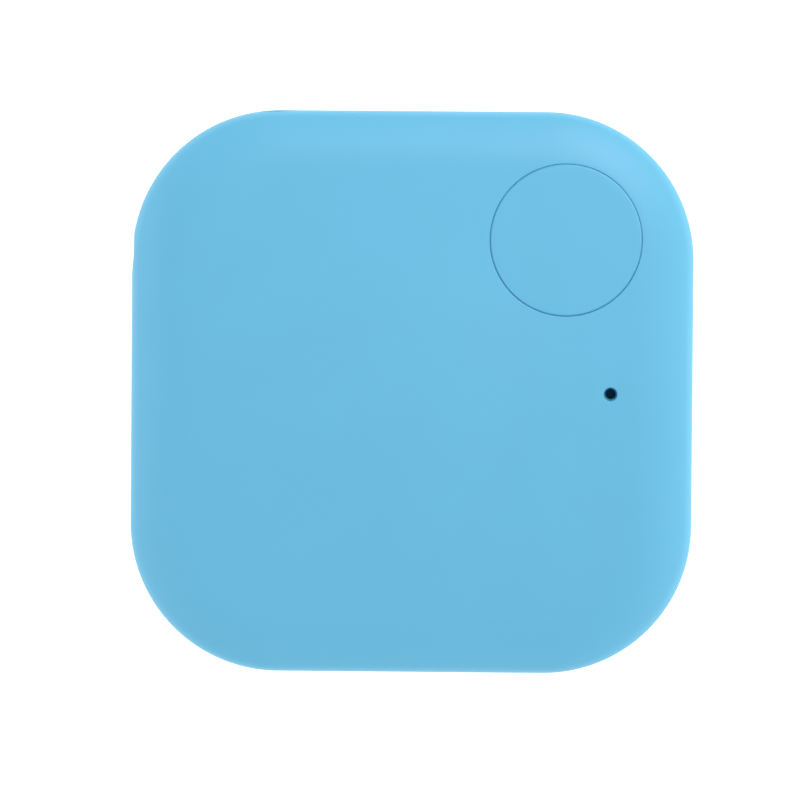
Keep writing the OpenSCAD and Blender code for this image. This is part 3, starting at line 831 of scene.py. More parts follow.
def grow(name, tree, start, values, body, nodes, sharp=35):
    """Runs a tree on a mesh of points or edges and keeps the result as a plain piece on its body."""
    host = bpy.data.objects.new(name + "_start", start)
    bpy.context.scene.collection.objects.link(host)
    modifier = host.modifiers.new("grow", "NODES")
    modifier.node_group = tree
    for item in tree.interface.items_tree:
        if item.in_out == "INPUT" and item.name in values:
            modifier[item.identifier] = values[item.name]
    bpy.context.view_layer.update()
    evaluated = host.evaluated_get(bpy.context.evaluated_depsgraph_get())
    mesh = bpy.data.meshes.new_from_object(evaluated)
    mesh.name = name
    host.modifiers.clear()
    bpy.data.objects.remove(host)
    for attribute in [a.name for a in mesh.attributes if a.name == "turn"]:
        mesh.attributes.remove(mesh.attributes[attribute])
    mesh.shade_smooth()
    mesh.set_sharp_from_angle(angle=math.radians(sharp))
    piece = bpy.data.objects.new(name, mesh)
    bpy.context.scene.collection.objects.link(piece)
    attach(piece, body)
    if nodes:
        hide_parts(*nodes)
    return piece


set_out, inputs = new_tree("Set out", {"Shape": "Object", "Finish": "Material"})
shape = add_node(set_out, "GeometryNodeObjectInfo", {"Object": inputs["Shape"]})
turn = add_node(set_out, "GeometryNodeInputNamedAttribute", {"Name": "turn"}, data_type="FLOAT")
euler = add_node(set_out, "ShaderNodeCombineXYZ", {"Z": turn.outputs["Attribute"]})
spin = add_node(set_out, "FunctionNodeEulerToRotation", {"Euler": euler.outputs[0]})
copies = add_node(
    set_out, "GeometryNodeInstanceOnPoints",
    {"Points": inputs["Geometry"], "Instance": shape.outputs["Geometry"], "Rotation": spin.outputs[0]},
)
end_tree(set_out, copies.outputs[0], inputs["Finish"])


def repeat(name, shape, places, material, body, nodes):
    """Puts one small shape, a mesh drawn in millimetres about the origin, at each (x, y, z, turn)."""
    bmesh.ops.recalc_face_normals(shape, faces=shape.faces)
    bmesh.ops.scale(shape, vec=(MM, MM, MM), verts=shape.verts)
    pattern = bpy.data.meshes.new(name + "_shape")
    shape.to_mesh(pattern)
    shape.free()
    source = bpy.data.objects.new(name + "_shape", pattern)
    points = bpy.data.meshes.new(name)
    points.from_pydata([Vector(place[:3]) * MM for place in places], [], [])
    turns_there = points.attributes.new("turn", "FLOAT", "POINT")
    turns_there.data.foreach_set("value", [place[3] for place in places])
    piece = grow(name, set_out, points, {"Shape": source, "Finish": material}, body, nodes)
    bpy.data.objects.remove(source)
    return piece


# Copper tracks run from the radio chip to the parts round it, and the power tracks down to the cell
radio_low, radio_high = in_mm(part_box("radio_chip"))
radio_x, radio_y = (radio_low.x + radio_high.x) / 2, (radio_low.y + radio_high.y) / 2
radio_half = (radio_high.x - radio_low.x) / 2
track_z = board_top + 0.005
ROUTES = [
    [(-4.5, 11.3), (-5.4, 11.3), (-5.9, 10.8)], [(-4.5, 9.4), (-5.3, 9.4), (-5.9, 8.8), (-6.9, 8.8)],
    [(-3.1, 8.3), (-3.1, 7.9), (-3.6, 7.4)], [(-2.1, 8.3), (-2.1, 7.7), (-1.8, 7.4)],
    [(-3.9, 8.3), (-4.9, 7.4)], [(-0.5, 9.4), (0.2, 9.4), (0.8, 8.8)], [(-0.5, 10.4), (0.4, 10.4)],
    [(-0.5, 11.4), (1.6, 11.4), (2.1, 11.9)], [(0.8, 7.7), (0.8, 6.6), (2.2, 5.2), (4.5, 5.2), (5.4, 6.1)],
    [(2.1, 8.1), (3, 7.2), (3.8, 7.2), (3.8, 7.9)], [(2.1, 9.1), (2.6, 9.6), (3, 9.6)],
    [(3.8, 10.9), (3.8, 11.6), (2.6, 12.6), (2, 12.6)], [(-2.4, 12.4), (-2.4, 12.7)],
    [(-4, 12.4), (-4, 13.6)],
    [(-2.4, 13.7), (-1.2, 14), (1, 14), (2, 13)], [(-6.4, 12.5), (-7.4, 12.2), (-8.9, 12.2), (-9.6, 11.5)],
    [(-9.6, 10.8), (-9.6, 8.4)], [(-9.1, 8), (-7.6, 6.6), (-6.2, 6.6), (-5.7, 7)],
    [(5.9, 6.2), (7.5, 6.2), (7.5, 8)], [(14.9, 9.6), (13.6, 8.3), (13.6, 6.4)],
    [(15.2, 9), (15.2, 6), (14.4, 5.9)],
    [(7, -9.1), (7, -7.6), (6.4, -6.9)], [(6.4, -5.6), (6.4, -3.6), (7.6, -2.4)],
    [(8.5, -14), (8.4, -13.4), (8.4, -12.8)], [(9.5, -14), (11, -14), (12.8, -12.4), (12.8, -9.6)],
    [(9.4, -11), (9.4, -10.2)], [(11.6, -9.4), (12.5, -9.4), (13.3, -8.8)],
    [(11.8, -7), (12.6, -6.4), (14.6, -6.4)],
    [(13.4, -6.5), (14.2, -5.6), (15.6, -5.6), (16, -5)],
]
tracks, inputs = new_tree(
    "Copper tracks", {"Width": "Float", "Thickness": "Float", "Bend": "Float", "Finish": "Material"},
)
line = add_node(tracks, "GeometryNodeMeshToCurve", {"Mesh": inputs["Geometry"]})
eased = add_node(
    tracks, "GeometryNodeFilletCurve", {"Curve": line.outputs[0], "Radius": inputs["Bend"], "Count": 3},
    mode="POLY",
)
level = add_node(tracks, "GeometryNodeSetCurveNormal", {"Curve": eased.outputs[0]}, mode="Z_UP")
section_shape = add_node(
    tracks, "GeometryNodeCurvePrimitiveQuadrilateral",
    {"Width": inputs["Thickness"], "Height": inputs["Width"]},
)
swept = add_node(
    tracks, "GeometryNodeCurveToMesh",
    {"Curve": level.outputs[0], "Profile Curve": section_shape.outputs[0], "Fill Caps": True},
)
end_tree(tracks, swept.outputs[0], inputs["Finish"])


def run_edges(name, runs, z):
    """A mesh of open edge runs at one height, in metres, from points in millimetres."""
    points, edges = [], []
    for run in runs:
        edges += [(len(points) + i, len(points) + i + 1) for i in range(len(run) - 1)]
        points += [Vector((x, y, z)) * MM for x, y in run]
    mesh = bpy.data.meshes.new(name)
    mesh.from_pydata(points, edges, [])
    return mesh


# Solder mask over copper: the same green, a shade lighter and more yellow where the metal backs it.
mask_on_copper = grained(
    "Green solder mask over copper", "#2E9059", "#3BA267", 0.5, 0.002,
    Roughness=0.3, IOR=1.5, Coat_Weight=0.5,
)
track_sizes = {"Width": 0.22 * MM, "Thickness": 0.04 * MM, "Bend": 0.15 * MM, "Finish": mask_on_copper}
routes = run_edges("routes", ROUTES, track_z)
grow("board_tracks", tracks, routes, track_sizes, "rear_case", [])
POWER = [
    [(10.2, -5.6), (8.6, -5.6), (6.4, -6.9), (5.6, -7.7)], [(2.4, 2.4), (4.6, 4.6), (7.8, 4.6), (9, 5.6)],
    [(6.8, -9.6), (5.6, -10.8), (5.2, -11.2)], [(-13, 4.8), (-11.5, 6.3), (-10.4, 7.4)],
    [(12.2, 4.2), (12.2, 6.8)], [(15.9, 4), (15.9, 2)], [(12.6, -13.6), (14.4, -12)],
]
track_sizes["Width"] = 0.55 * MM
grow("power_tracks", tracks, run_edges("power", POWER, track_z), track_sizes, "rear_case", [])

# Stitching vias follow the board's edge; the aerial's end of the board is kept free of them
via_path = [tuple(on_case(s, board_r - 0.5)) for s in stops if on_case(s, board_r).y < 12.5]
via_places = []
via_pitch = 1.6
travelled = 0.0
for a, b in zip(via_path, via_path[1:]):
    travelled += math.dist(a, b)
    if travelled > via_pitch and math.dist(a, b) < 2:
        via_places.append((b[0], b[1], board_top, 0.0))
        travelled = 0.0
inner_vias = [(1.8, 6.8), (6, 9.6), (6, 11.2), (-11.6, 9.4), (-11.6, 11.4), (6.2, 0.8), (6.2, -1.2)]
inner_vias += [(-8, 6.1), (5, -4.8)]
for x, y in inner_vias:
    via_places.append((x, y, board_top, 0.0))
via = bmesh.new()
turned(via, 0, 0, [(0.13, -0.01), (0.3, -0.01), (0.28, 0.022), (0.15, 0.022)], 16)
# Plated copper under gold: warm, bright and a little uneven.
gold = grained("Gold flash on copper", "#C79A3E", "#E0B85C", 0.3, 0.002, Metallic=1.0, Roughness=0.3)
repeat("stitching_vias", via, via_places, gold, "rear_case", [])


# ---- Printed aerial ----
# An inverted-F aerial etched in the board's own copper along its top edge: a feed leg, a ground leg
# and a meander, left bare of solder mask and gilded against tarnish.
def softened(name, node, edge, materials, body, sharp=35):
    """A copy of a CAD node with its doubles merged, its flat faces whole and its edges rounded."""
    bm = bmesh.new()
    bm.from_mesh(frame["nodes"][node].data)
    bmesh.ops.remove_doubles(bm, verts=bm.verts, dist=1e-6)
    bmesh.ops.dissolve_limit(bm, angle_limit=math.radians(1), verts=bm.verts, edges=bm.edges)
    bmesh.ops.scale(bm, vec=(1 / MM, 1 / MM, 1 / MM), verts=bm.verts)
    hard = [e for e in bm.edges if len(e.link_faces) == 2 and e.calc_face_angle(0) > math.radians(40)]
    if edge:
        bmesh.ops.bevel(
            bm, geom=hard, offset=edge, segments=2, profile=0.5, affect="EDGES", clamp_overlap=True,
        )
    return to_piece(bm, name, materials, body, [node], sharp)


softened("aerial_trace", "antenna_trace", 0.012, [gold], "rear_case")


# ---- Radio chip and crystals ----
# A 4 mm square chip package moulded in black epoxy with its lead ends level with its sides, and two
# crystals in ceramic trays under seam-welded metal lids. All are reflow-soldered to the board.
black_epoxy = grained("Black epoxy moulding", "#1D1F21", "#2C2E31", 0.08, 0.01, Roughness=0.6, IOR=1.55)
# Tin plate: a bright, slightly wavy metal with soft highlights.
tin = grained("Tin plate", "#C4C7C9", "#E0E2E3", 0.25, 0.01, Metallic=1.0, Roughness=0.32)
chip = bmesh.new()
chip_low = radio_low.z
chip_h = radio_high.z - chip_low
soft_box(chip, (2 * radio_half, 2 * radio_half, chip_h), (radio_x, radio_y, chip_low + chip_h / 2), 0.04)
spot = Vector((radio_x - radio_half + 0.6, radio_y + radio_half - 0.6))
turned(chip, spot.x, spot.y, arc(0, radio_high.z + 0.5, 0.51, -90, -65, 4) + [(0, radio_high.z - 0.012)], 32)
to_piece(chip, "radio_chip_body", [black_epoxy], "rear_case", ["radio_chip"])
lead_count = 10
lead_pitch = 0.35
lead_places = []
for side in range(4):
    turn = side * math.pi / 2
    for i in range(lead_count):
        along = (i - (lead_count - 1) / 2) * lead_pitch
        x = radio_half * math.cos(turn) - along * math.sin(turn)
        y = radio_half * math.sin(turn) + along * math.cos(turn)
        lead_places.append((radio_x + x, radio_y + y, board_top, turn))
lead = bmesh.new()
soft_box(lead, (0.16, 0.18, 0.2), (0, 0, 0.13), 0.02)
soft_box(lead, (0.34, 0.16, 0.05), (0.1, 0, 0.03), 0.02)
repeat("radio_chip_leads", lead, lead_places, tin, "rear_case", [])

ceramic = grained("Black ceramic tray", "#26282B", "#34373B", 0.1, 0.01, Roughness=0.65, IOR=1.6)
# Nickel-plated lid: satin metal with a faint haze from the seam weld.
lid_metal = grained("Nickel-plated lid", "#B9BABA", "#D2D2D0", 0.6, 0.004, Metallic=1.0, Roughness=0.36)
for name, node in (("main_crystal_can", "main_crystal"), ("clock_crystal_can", "clock_crystal")):
    low, high = in_mm(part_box(node))
    middle, size = (low + high) / 2, high - low
    tray_h = 0.32
    can = bmesh.new()
    soft_box(can, (size.x, size.y, tray_h), (middle.x, middle.y, low.z + tray_h / 2), 0.05)
    for face in can.faces:
        face.material_index = 1
    lid_h = size.z - tray_h + 0.02
    soft_box(can, (size.x - 0.2, size.y - 0.2, 0.08), (middle.x, middle.y, low.z + tray_h + 0.02), 0.03)
    lid_at = (middle.x, middle.y, high.z - lid_h / 2)
    soft_box(can, (size.x - 0.36, size.y - 0.36, lid_h), lid_at, 0.1, 0.0, 4)
    to_piece(can, name, [lid_metal, ceramic], "rear_case", [node])


# ---- Chip capacitors, resistors and inductors ----
# Small fired ceramic blocks with tinned ends, each standing in a fillet of solder at both ends.
# Capacitors are bare tan ceramic, resistors are glazed black on white, inductors are blue-grey.
def end_capped(name, node, body_material, cap_share=0.24):
    """Bodies and soldered ends for every solid of a node of chip parts."""
    boxes = solids(node)
    low, high = boxes[0]
    length, width = max((high - low).to_2d()), min((high - low).to_2d())
    height = high.z - low.z
    places = []
    for low, high in boxes:
        size = high - low
        middle = (low + high) / 2
        places.append((middle.x, middle.y, low.z, 0.0 if size.x > size.y else math.pi / 2))
    cap = cap_share * length
    edge = 0.08 * width
    block = bmesh.new()
    soft_box(block, (length - 2 * cap + 0.04, 0.94 * width, 0.94 * height), (0, 0, 0.5 * height), edge)
    repeat(name + "_bodies", block, places, body_material, "rear_case", [node])
    ends = bmesh.new()
    for side in (-1, 1):
        soft_box(ends, (cap, width, height), (side * (length - cap) / 2, 0, height / 2), edge)
        toe = [ends.verts.new(p) for p in (
            (side * (length / 2 - 0.02), -0.42 * width, 0), (side * (length / 2 - 0.02), 0.42 * width, 0),
            (side * (length / 2 + 0.3 * height), 0.36 * width, -0.02),
            (side * (length / 2 + 0.3 * height), -0.36 * width, -0.02),
            (side * (length / 2 - 0.02), -0.38 * width, 0.5 * height),
            (side * (length / 2 - 0.02), 0.38 * width, 0.5 * height),
            (side * (length / 2 + 0.08 * height), 0.36 * width, 0.14 * height),
            (side * (length / 2 + 0.08 * height), -0.36 * width, 0.14 * height),
        )]
        for quad in ((0, 1, 2, 3), (4, 5, 6, 7), (7, 6, 2, 3), (0, 1, 5, 4), (0, 4, 7, 3), (1, 5, 6, 2)):
            ends.faces.new([toe[i] for i in quad])
    repeat(name + "_ends", ends, places, tin, "rear_case", [])


tan_ceramic = grained("Fired tan ceramic", "#A27C50", "#B99465", 0.12, 0.008, Roughness=0.55, IOR=1.6)
black_glaze = grained("Black resistor glaze", "#15171A", "#202327", 0.2, 0.004, Roughness=0.25, IOR=1.52)
blue_ceramic = grained(
    "Blue-grey ferrite ceramic", "#74828C", "#93A2AC", 0.12, 0.008, Roughness=0.5, IOR=1.6,
)
end_capped("capacitor", "capacitors", tan_ceramic)
end_capped("bulk_capacitor", "bulk_capacitors", tan_ceramic, 0.17)
end_capped("resistor", "resistors", black_glaze)
end_capped("inductor", "inductors", blue_ceramic)


# ---- Test light ----
# A chip light-emitting diode: a clear epoxy block cast over the die on a small white laminate, with a
# plated end at each side. It only serves the assembly test and doesn't show through the case.
led_low, led_high = in_mm(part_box("status_led"))
led_mid = (led_low + led_high) / 2
led_size = led_high - led_low
deck_h = 0.24
light = bmesh.new()
soft_box(light, (0.9, led_size.y, led_size.z - deck_h), (led_mid.x, led_mid.y, led_high.z - 0.17), 0.05)
lens_faces = set(light.faces)
soft_box(light, (led_size.x - 0.3, led_size.y, deck_h), (led_mid.x, led_mid.y, led_low.z + deck_h / 2), 0.02)
deck_faces = set(light.faces) - lens_faces
for side in (-1, 1):
    end_at = (led_mid.x + side * 0.67, led_mid.y, led_low.z + deck_h / 2)
    soft_box(light, (0.25, led_size.y, deck_h), end_at, 0.03)
for face in light.faces:
    face.material_index = 0 if face in lens_faces else 1 if face in deck_faces else 2
lens = grained(
    "Clear yellowish epoxy", "#E9E3B4", "#F3EFCB", 0.4, 0.002,
    Roughness=0.15, IOR=1.52, Transmission_Weight=0.4,
)
deck = grained("White laminate", "#DCDDD8", "#EEEEEA", 0.1, 0.01, Roughness=0.6, IOR=1.5)
to_piece(light, "status_light", [lens, deck, gold], "rear_case", ["status_led"])


# ---- Driver transistor and diode ----
# Two black epoxy packages on formed tinned legs. The transistor switches the sounder, and the diode,
# with a pale band at one end, catches the coil's kick-back.
def strip(bm, path, thick, width, across, up, origin, bend=0.08, finish=0):
    """A strip of sheet metal bent along a path drawn in the plane of two directions."""
    line = [Vector(p) for p in path]
    eased = [line[0]]
    for back, p, ahead in zip(line, line[1:], line[2:]):
        a, b = (back - p), (ahead - p)
        reach = min(bend, 0.45 * a.length, 0.45 * b.length)
        start, end = p + a.normalized() * reach, p + b.normalized() * reach
        eased += [(1 - w) ** 2 * start + 2 * (1 - w) * w * p + w * w * end for w in (0, 0.25, 0.5, 0.75, 1)]
    eased.append(line[-1])
    left, other = [], []
    for i, p in enumerate(eased):
        way = (eased[min(i + 1, len(eased) - 1)] - eased[max(i - 1, 0)]).normalized()
        side = Vector((-way.y, way.x)) * thick / 2
        left.append(p + side)
        other.append(p - side)
    loop = left + other[::-1]
    depth = across.cross(up).normalized()
    edge = min(0.25 * thick, 0.03)
    rings = []
    for offset, shrink in ((-width / 2, 1), (-width / 2 + edge, 0), (width / 2 - edge, 0), (width / 2, 1)):
        ring = []
        for i, p in enumerate(loop):
            twin = loop[len(loop) - 1 - i]
            q = p + (twin - p).normalized() * edge * shrink if (twin - p).length > 0 else p
            ring.append(Vector(origin) + across * q.x + up * q.y + depth * offset)
        rings.append(ring)
    rows = band(bm, rings)
    half = len(left)
    for row in (rows[0], rows[-1]):
        for i in range(half - 1):
            bm.faces.new((row[i], row[i + 1], row[2 * half - 2 - i], row[2 * half - 1 - i]))
    for row in rows:
        for v in row:
            for face in v.link_faces:
                face.material_index = finish


x_way, y_way, z_way = Vector((1, 0, 0)), Vector((0, 1, 0)), Vector((0, 0, 1))
leg_t = 0.12
body_low, body_high = in_mm(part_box("driver_transistor"))
package = bmesh.new()
package_mid = (body_low + body_high) / 2
package_low = board_top + 0.1
package_h = body_high.z - package_low
package_half = 0.65
package_at = (package_mid.x, package_mid.y, package_low + package_h / 2)
soft_box(package, (2.9, 2 * package_half, package_h), package_at, 0.09)
leg_reach = (body_high.y - body_low.y) / 2
leg_low = leg_t / 2 + 0.02
leg_shape = [(0, 0.45), (0.25, 0.45), (0.4, leg_low), (leg_reach - package_half + 0.2, leg_low)]
for x, side in ((-0.95, -1), (0.95, -1), (0, 1)):
    start = (package_mid.x + x, package_mid.y + side * (package_half - 0.2), board_top + 0.03)
    strip(package, leg_shape, leg_t, 0.4, y_way * side, z_way, start, finish=1)
to_piece(
    package, "driver_transistor_package", [black_epoxy, tin], "rear_case", ["driver_transistor"],
)

body_low, body_high = in_mm(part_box("driver_diode"))
package_mid = (body_low + body_high) / 2
package_h = body_high.z - package_low
diode_half = 0.85
package = bmesh.new()
package_at = (package_mid.x, package_mid.y, package_low + package_h / 2)
soft_box(package, (1.25, 2 * diode_half, package_h), package_at, 0.08)
leg_reach = (body_high.y - body_low.y) / 2
leg_shape = [(0, 0.4), (0.12, 0.4), (0.2, leg_low), (leg_reach - diode_half + 0.1, leg_low)]
for side in (-1, 1):
    start = (package_mid.x, package_mid.y + side * (diode_half - 0.1), board_top + 0.03)
    strip(package, leg_shape, leg_t, 0.3, y_way * side, z_way, start, finish=1)
before = set(package.faces)
band_at = (package_mid.x, package_mid.y + 0.5, package_low + package_h / 2)
soft_box(package, (1.26, 0.3, package_h + 0.01), band_at, 0.08)
for face in set(package.faces) - before:
    face.material_index = 2
band_ink = grained("Pale band ink", "#B9BCBC", "#CDD0D0", 0.1, 0.004, Roughness=0.6, IOR=1.5)
to_piece(
    package, "driver_diode_package", [black_epoxy, tin, band_ink], "rear_case", ["driver_diode"],
)


# ---- Push switch ----
# A 5 mm square switch under the button: a moulded base with a snap dome in its pocket, a brown nylon
# plunger on the dome, and a stamped steel cover clipped down over both, with four formed terminals.
switch_low, switch_high = in_mm(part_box("switch_base"))
switch_half = (switch_high.x - switch_low.x) / 2
switch_mid = (switch_low + switch_high) / 2
pocket_r, pocket_floor = 2.0, board_top + 0.3


def plate(bm, middle, half, corner, low, high, edge, hole=None, hole_floor=None, at=None, steps=72):
    """A square block with round corners and edges. It may have a round hole right through or a pocket."""
    at = at or middle
    square = [(middle.x - half, middle.y - half), (middle.x + half, middle.y - half)]
    square += [(middle.x + half, middle.y + half), (middle.x - half, middle.y + half)]
    outline = rounded(square, corner, 8)
    tight = [p + (Vector(middle[:2]) - p).normalized() * edge * 1.2 for p in outline]
    levels = [(tight, low), (outline, low + edge), (outline, high - edge), (tight, high)]
    rows = band(bm, [raised(*level) for level in levels])
    if hole is None:
        bm.faces.new(rows[0])
        bm.faces.new(rows[-1])
        return
    wide = circle_points(at.x, at.y, hole + edge, steps)
    round_hole = circle_points(at.x, at.y, hole, steps)
    skin(bm, [], tight, [wide], at_height(high))
    down = [(wide, high), (round_hole, high - edge)]
    if hole_floor is None:
        skin(bm, [], tight, [wide], at_height(low))
        down += [(round_hole, low + edge), (wide, low)]
        band(bm, [raised(*level) for level in down])
    else:
        bm.faces.new(rows[0])
        down += [(round_hole, hole_floor)]
        bm.faces.new(band(bm, [raised(*level) for level in down])[-1])


# Glass-filled black nylon: matt, with short pale fibres just under the skin.
black_nylon = grained(
    "Glass-filled black nylon", "#17181A", "#2B2D30", 0.09, 0.02, 5.0, Roughness=0.62, IOR=1.53,
)
base = bmesh.new()
plate(base, switch_mid, switch_half, 0.35, switch_low.z, switch_high.z, 0.05, pocket_r, pocket_floor)
cover_low, cover_high = in_mm(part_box("switch_cover"))
plate_low = cover_high.z - 0.15
stud_at = switch_half - 0.55
stud = [(0, switch_high.z - 0.02), (0.22, switch_high.z - 0.02)]
stud += [(r, plate_low + up) for r, up in ((0.22, 0.15), (0.34, 0.16), (0.3, 0.22), (0.18, 0.27), (0, 0.28))]
for x in (-1, 1):
    for y in (-1, 1):
        turned(base, switch_mid.x + x * stud_at, switch_mid.y + y * stud_at, stud, 24)
to_piece(base, "switch_base_moulding", [black_nylon], "rear_case", ["switch_base"])


def rolled_metal(name, dark, light, pitch, way="X", **shader_inputs):
    """Sheet metal with fine lines from the rolls or the brush, a pitch apart in millimetres."""
    material, tree, shader = new_material(name, Metallic=1.0, **shader_inputs)
    place = add_node(tree, "ShaderNodeTexCoord").outputs["Object"]
    stretch = {"X": (1, 12, 12), "Y": (12, 1, 12)}[way]
    long = add_node(tree, "ShaderNodeMapping", {"Vector": place, "Scale": stretch})
    size = {"Scale": 1 / (12 * pitch * MM), "Detail": 2.0}
    lines = add_node(tree, "ShaderNodeTexNoise", {"Vector": long.outputs[0], **size})
    pattern_on(tree, shader, lines.outputs["Fac"], ((0.2, dark), (0.8, light)), 0.004)
    return material


foot_low = board_top + 0.02
terminals = bmesh.new()
for x in (-1, 1):
    for y in (-1, 1):
        start = (switch_mid.x + x * (switch_half + 0.02), switch_mid.y + 1.85 * y, foot_low)
        strip(terminals, [(0.07, 0.48), (0.07, 0.07), (0.8, 0.07)], 0.13, 0.7, x_way * x, z_way, start, 0.14)
to_piece(terminals, "switch_terminal_set", [tin], "rear_case", ["switch_terminals"])

# The dome's rim rests in the pocket, and its crown follows the plunger down
dome_low, dome_high = in_mm(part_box("switch_dome"))
dome_rise = dome_high.z - dome_low.z
dome_r = 1.9
dome_t = 0.06
bow = (dome_r ** 2 + dome_rise ** 2) / (2 * dome_rise)
bow_z = dome_high.z - bow
lean = math.degrees(math.asin(dome_r / bow))
section = arc(0, bow_z, bow, 90 - lean, 90, 14) + arc(0, bow_z, bow - dome_t, 90, 90 - lean, 14)
dome = bmesh.new()
turned(dome, switch_mid.x, switch_mid.y, section, 64)
spring_steel = rolled_metal("Stainless spring strip", "#A9ABAD", "#CBCDCE", 0.05, Roughness=0.25)
snap_dome = to_piece(dome, "switch_snap_dome", [spring_steel], None, ["switch_dome"])
axis_point = (switch_mid.x * MM, switch_mid.y * MM)
bend_from, bend_to = (*axis_point, dome_low.z * MM), (*axis_point, dome_high.z * MM)
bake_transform(snap_dome, "rear_case", "switch_plunger", bend_from, bend_to)

plunger_low, plunger_high = in_mm(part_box("switch_plunger"))
section = [(0, plunger_low.z, 0), (1.9, plunger_low.z), (1.9, plunger_low.z + 0.1)]
section += [(1.4, plunger_low.z + 0.1, 0), (1.4, plunger_high.z, 0.12), (0, plunger_high.z, 0)]
brown_nylon = grained("Brown moulded nylon", "#5F4029", "#76533A", 0.15, 0.01, Roughness=0.5, IOR=1.53)
turned_piece(
    "switch_plunger_moulding", brown_nylon, "switch_plunger", "switch_plunger",
    switch_mid.x, switch_mid.y, rounded(section, 0.03), 64,
)

cover = bmesh.new()
plate(cover, switch_mid, switch_half, 0.35, plate_low, cover_high.z, 0.03, 1.48)
for side in (-1, 1):
    start = (switch_mid.x, switch_mid.y + side * (switch_half - 0.1), 0)
    hook = [(0, cover_high.z - 0.07), (0.19, cover_high.z - 0.07), (0.19, cover_low.z)]
    strip(cover, hook, 0.1, 2.2, y_way * side, z_way, start, 0.08)
stamped = rolled_metal("Stamped nickel-plated steel", "#A8AAAB", "#C6C8C9", 0.05, "Y", Roughness=0.33)
to_piece(cover, "switch_cover_stamping", [stamped], "rear_case", ["switch_cover"])


# ---- Sounder ----
# A magnetic sounder: a coil on an iron yoke inside a ring magnet pulls a thin steel diaphragm, which
# sounds through a port in the black moulded cover. It is soldered to the board at its four corners.
sounder_low, sounder_high = in_mm(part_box("buzzer_cover"))
sounder_mid = (sounder_low + sounder_high) / 2
sounder_half = (sounder_high.x - sounder_low.x) / 2
base_low, base_high = in_mm(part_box("buzzer_base"))
bed = sounder_low.z - 0.02
ledge = base_high.z
bore = 3.75
base = bmesh.new()
plate(base, sounder_mid, sounder_half, 0.5, base_low.z, bed, 0.05)
section = ring_section(bore - 0.35, bore - 0.02, bed - 0.02, ledge, 0.03)
turned(base, sounder_mid.x, sounder_mid.y, section, 96)
to_piece(base, "sounder_base_moulding", [black_nylon], "rear_case", ["buzzer_base"])

feet = bmesh.new()
for low, high in solids("buzzer_terminals"):
    soft_box(feet, high - low, (low + high) / 2, 0.03)
to_piece(feet, "sounder_terminal_set", [tin], "rear_case", ["buzzer_terminals"])


def in_sounder(name, material, node, section):
    """A turned part on the sounder's axis."""
    turned_piece(name, material, "rear_case", node, sounder_mid.x, sounder_mid.y, section, 72)


yoke_low, yoke_high = in_mm(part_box("buzzer_yoke"))
yoke_r, post_r, plate_top = 3.3, 0.9, yoke_low.z + 0.3
section = [(0, yoke_low.z, 0), (yoke_r, yoke_low.z), (yoke_r, plate_top), (post_r, plate_top, 0)]
section += [(post_r, yoke_high.z), (0, yoke_high.z, 0)]
soft_iron = grained("Turned soft iron", "#7E8081", "#98999A", 0.2, 0.01, Metallic=1.0, Roughness=0.45)
in_sounder("sounder_yoke", soft_iron, "buzzer_yoke", rounded(section, 0.04))

magnet_low, magnet_high = in_mm(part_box("buzzer_magnet"))
section = ring_section(2.3, yoke_r, magnet_low.z, magnet_high.z, 0.06)
ferrite = grained("Sintered ferrite", "#37383A", "#4B4C4F", 0.1, 0.02, Roughness=0.7, IOR=1.8)
in_sounder("sounder_magnet", ferrite, "buzzer_magnet", section)

# The real wire is 0.05 mm; its turns are drawn 0.11 mm apart so that they show
coil_low, coil_high = in_mm(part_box("buzzer_coil"))
coil_r = coil_high.x - sounder_mid.x
layers = 11
lay = (coil_high.z - coil_low.z) / layers
coil_in = post_r + 0.03
section = [(coil_in, coil_high.z), (coil_in, coil_low.z)]
for i in range(layers):
    section += arc(coil_r - lay / 2, coil_low.z + (i + 0.5) * lay, lay / 2, -80, 80, 4)
wire = grained("Enamelled copper wire", "#A4501A", "#C56B2A", 0.3, 0.003, Metallic=0.85, Roughness=0.28)
in_sounder("sounder_coil", wire, "buzzer_coil", section)

low, high = in_mm(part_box("buzzer_diaphragm"))
sheet_top = low.z + 0.07
section = [(0, low.z, 0), (high.x - sounder_mid.x, low.z), (high.x - sounder_mid.x, sheet_top)]
section += [(1.2, sheet_top, 0), (1.2, high.z), (0, high.z, 0)]
# Diaphragm steel: thin sheet with a dull even sheen. Its blue is painted shade: a darkened case blue that
# stands for the shaded blue plastic seen down the sound hole.
shade_blue_steel = grained("Steel sheet, painted shade blue", "#3580A6", "#408DB2", 0.4, 0.003, Metallic=1.0, Roughness=0.55)
in_sounder("sounder_diaphragm", shade_blue_steel, "buzzer_diaphragm", rounded(section, 0.02))

lid = bmesh.new()
corner_ways = ((-1, -1), (1, -1), (1, 1), (-1, 1))
square = [(sounder_mid.x + x * sounder_half, sounder_mid.y + y * sounder_half) for x, y in corner_ways]
outline = rounded(square, 0.9, 8)
tight = [p + (sounder_mid.to_2d() - p).normalized() * 0.25 for p in outline]
inside_top = sounder_high.z - 0.35
port_wide = circle_points(port_x, port_y, 0.85, 32)
port_ring = circle_points(port_x, port_y, 0.75, 32)
bore_ring = circle_points(sounder_mid.x, sounder_mid.y, bore, 96)
levels = [(outline, sounder_low.z), (outline, sounder_high.z - 0.25), (tight, sounder_high.z)]
band(lid, [raised(*level) for level in levels])
skin(lid, [], tight, [port_wide], at_height(sounder_high.z))
levels = [(port_wide, sounder_high.z), (port_ring, sounder_high.z - 0.08), (port_ring, inside_top)]
band(lid, [raised(*level) for level in levels])
skin(lid, [], bore_ring, [port_ring], at_height(inside_top))
band(lid, [raised(bore_ring, z) for z in (inside_top, sounder_low.z)])
skin(lid, [], outline, [bore_ring], at_height(sounder_low.z))
sounder_plastic = grained(
    "Black moulded polyester", "#1B1C1E", "#292B2D", 0.12, 0.012, Roughness=0.48, IOR=1.55,
)
to_piece(lid, "sounder_cover_moulding", [sounder_plastic], "rear_case", ["buzzer_cover"])


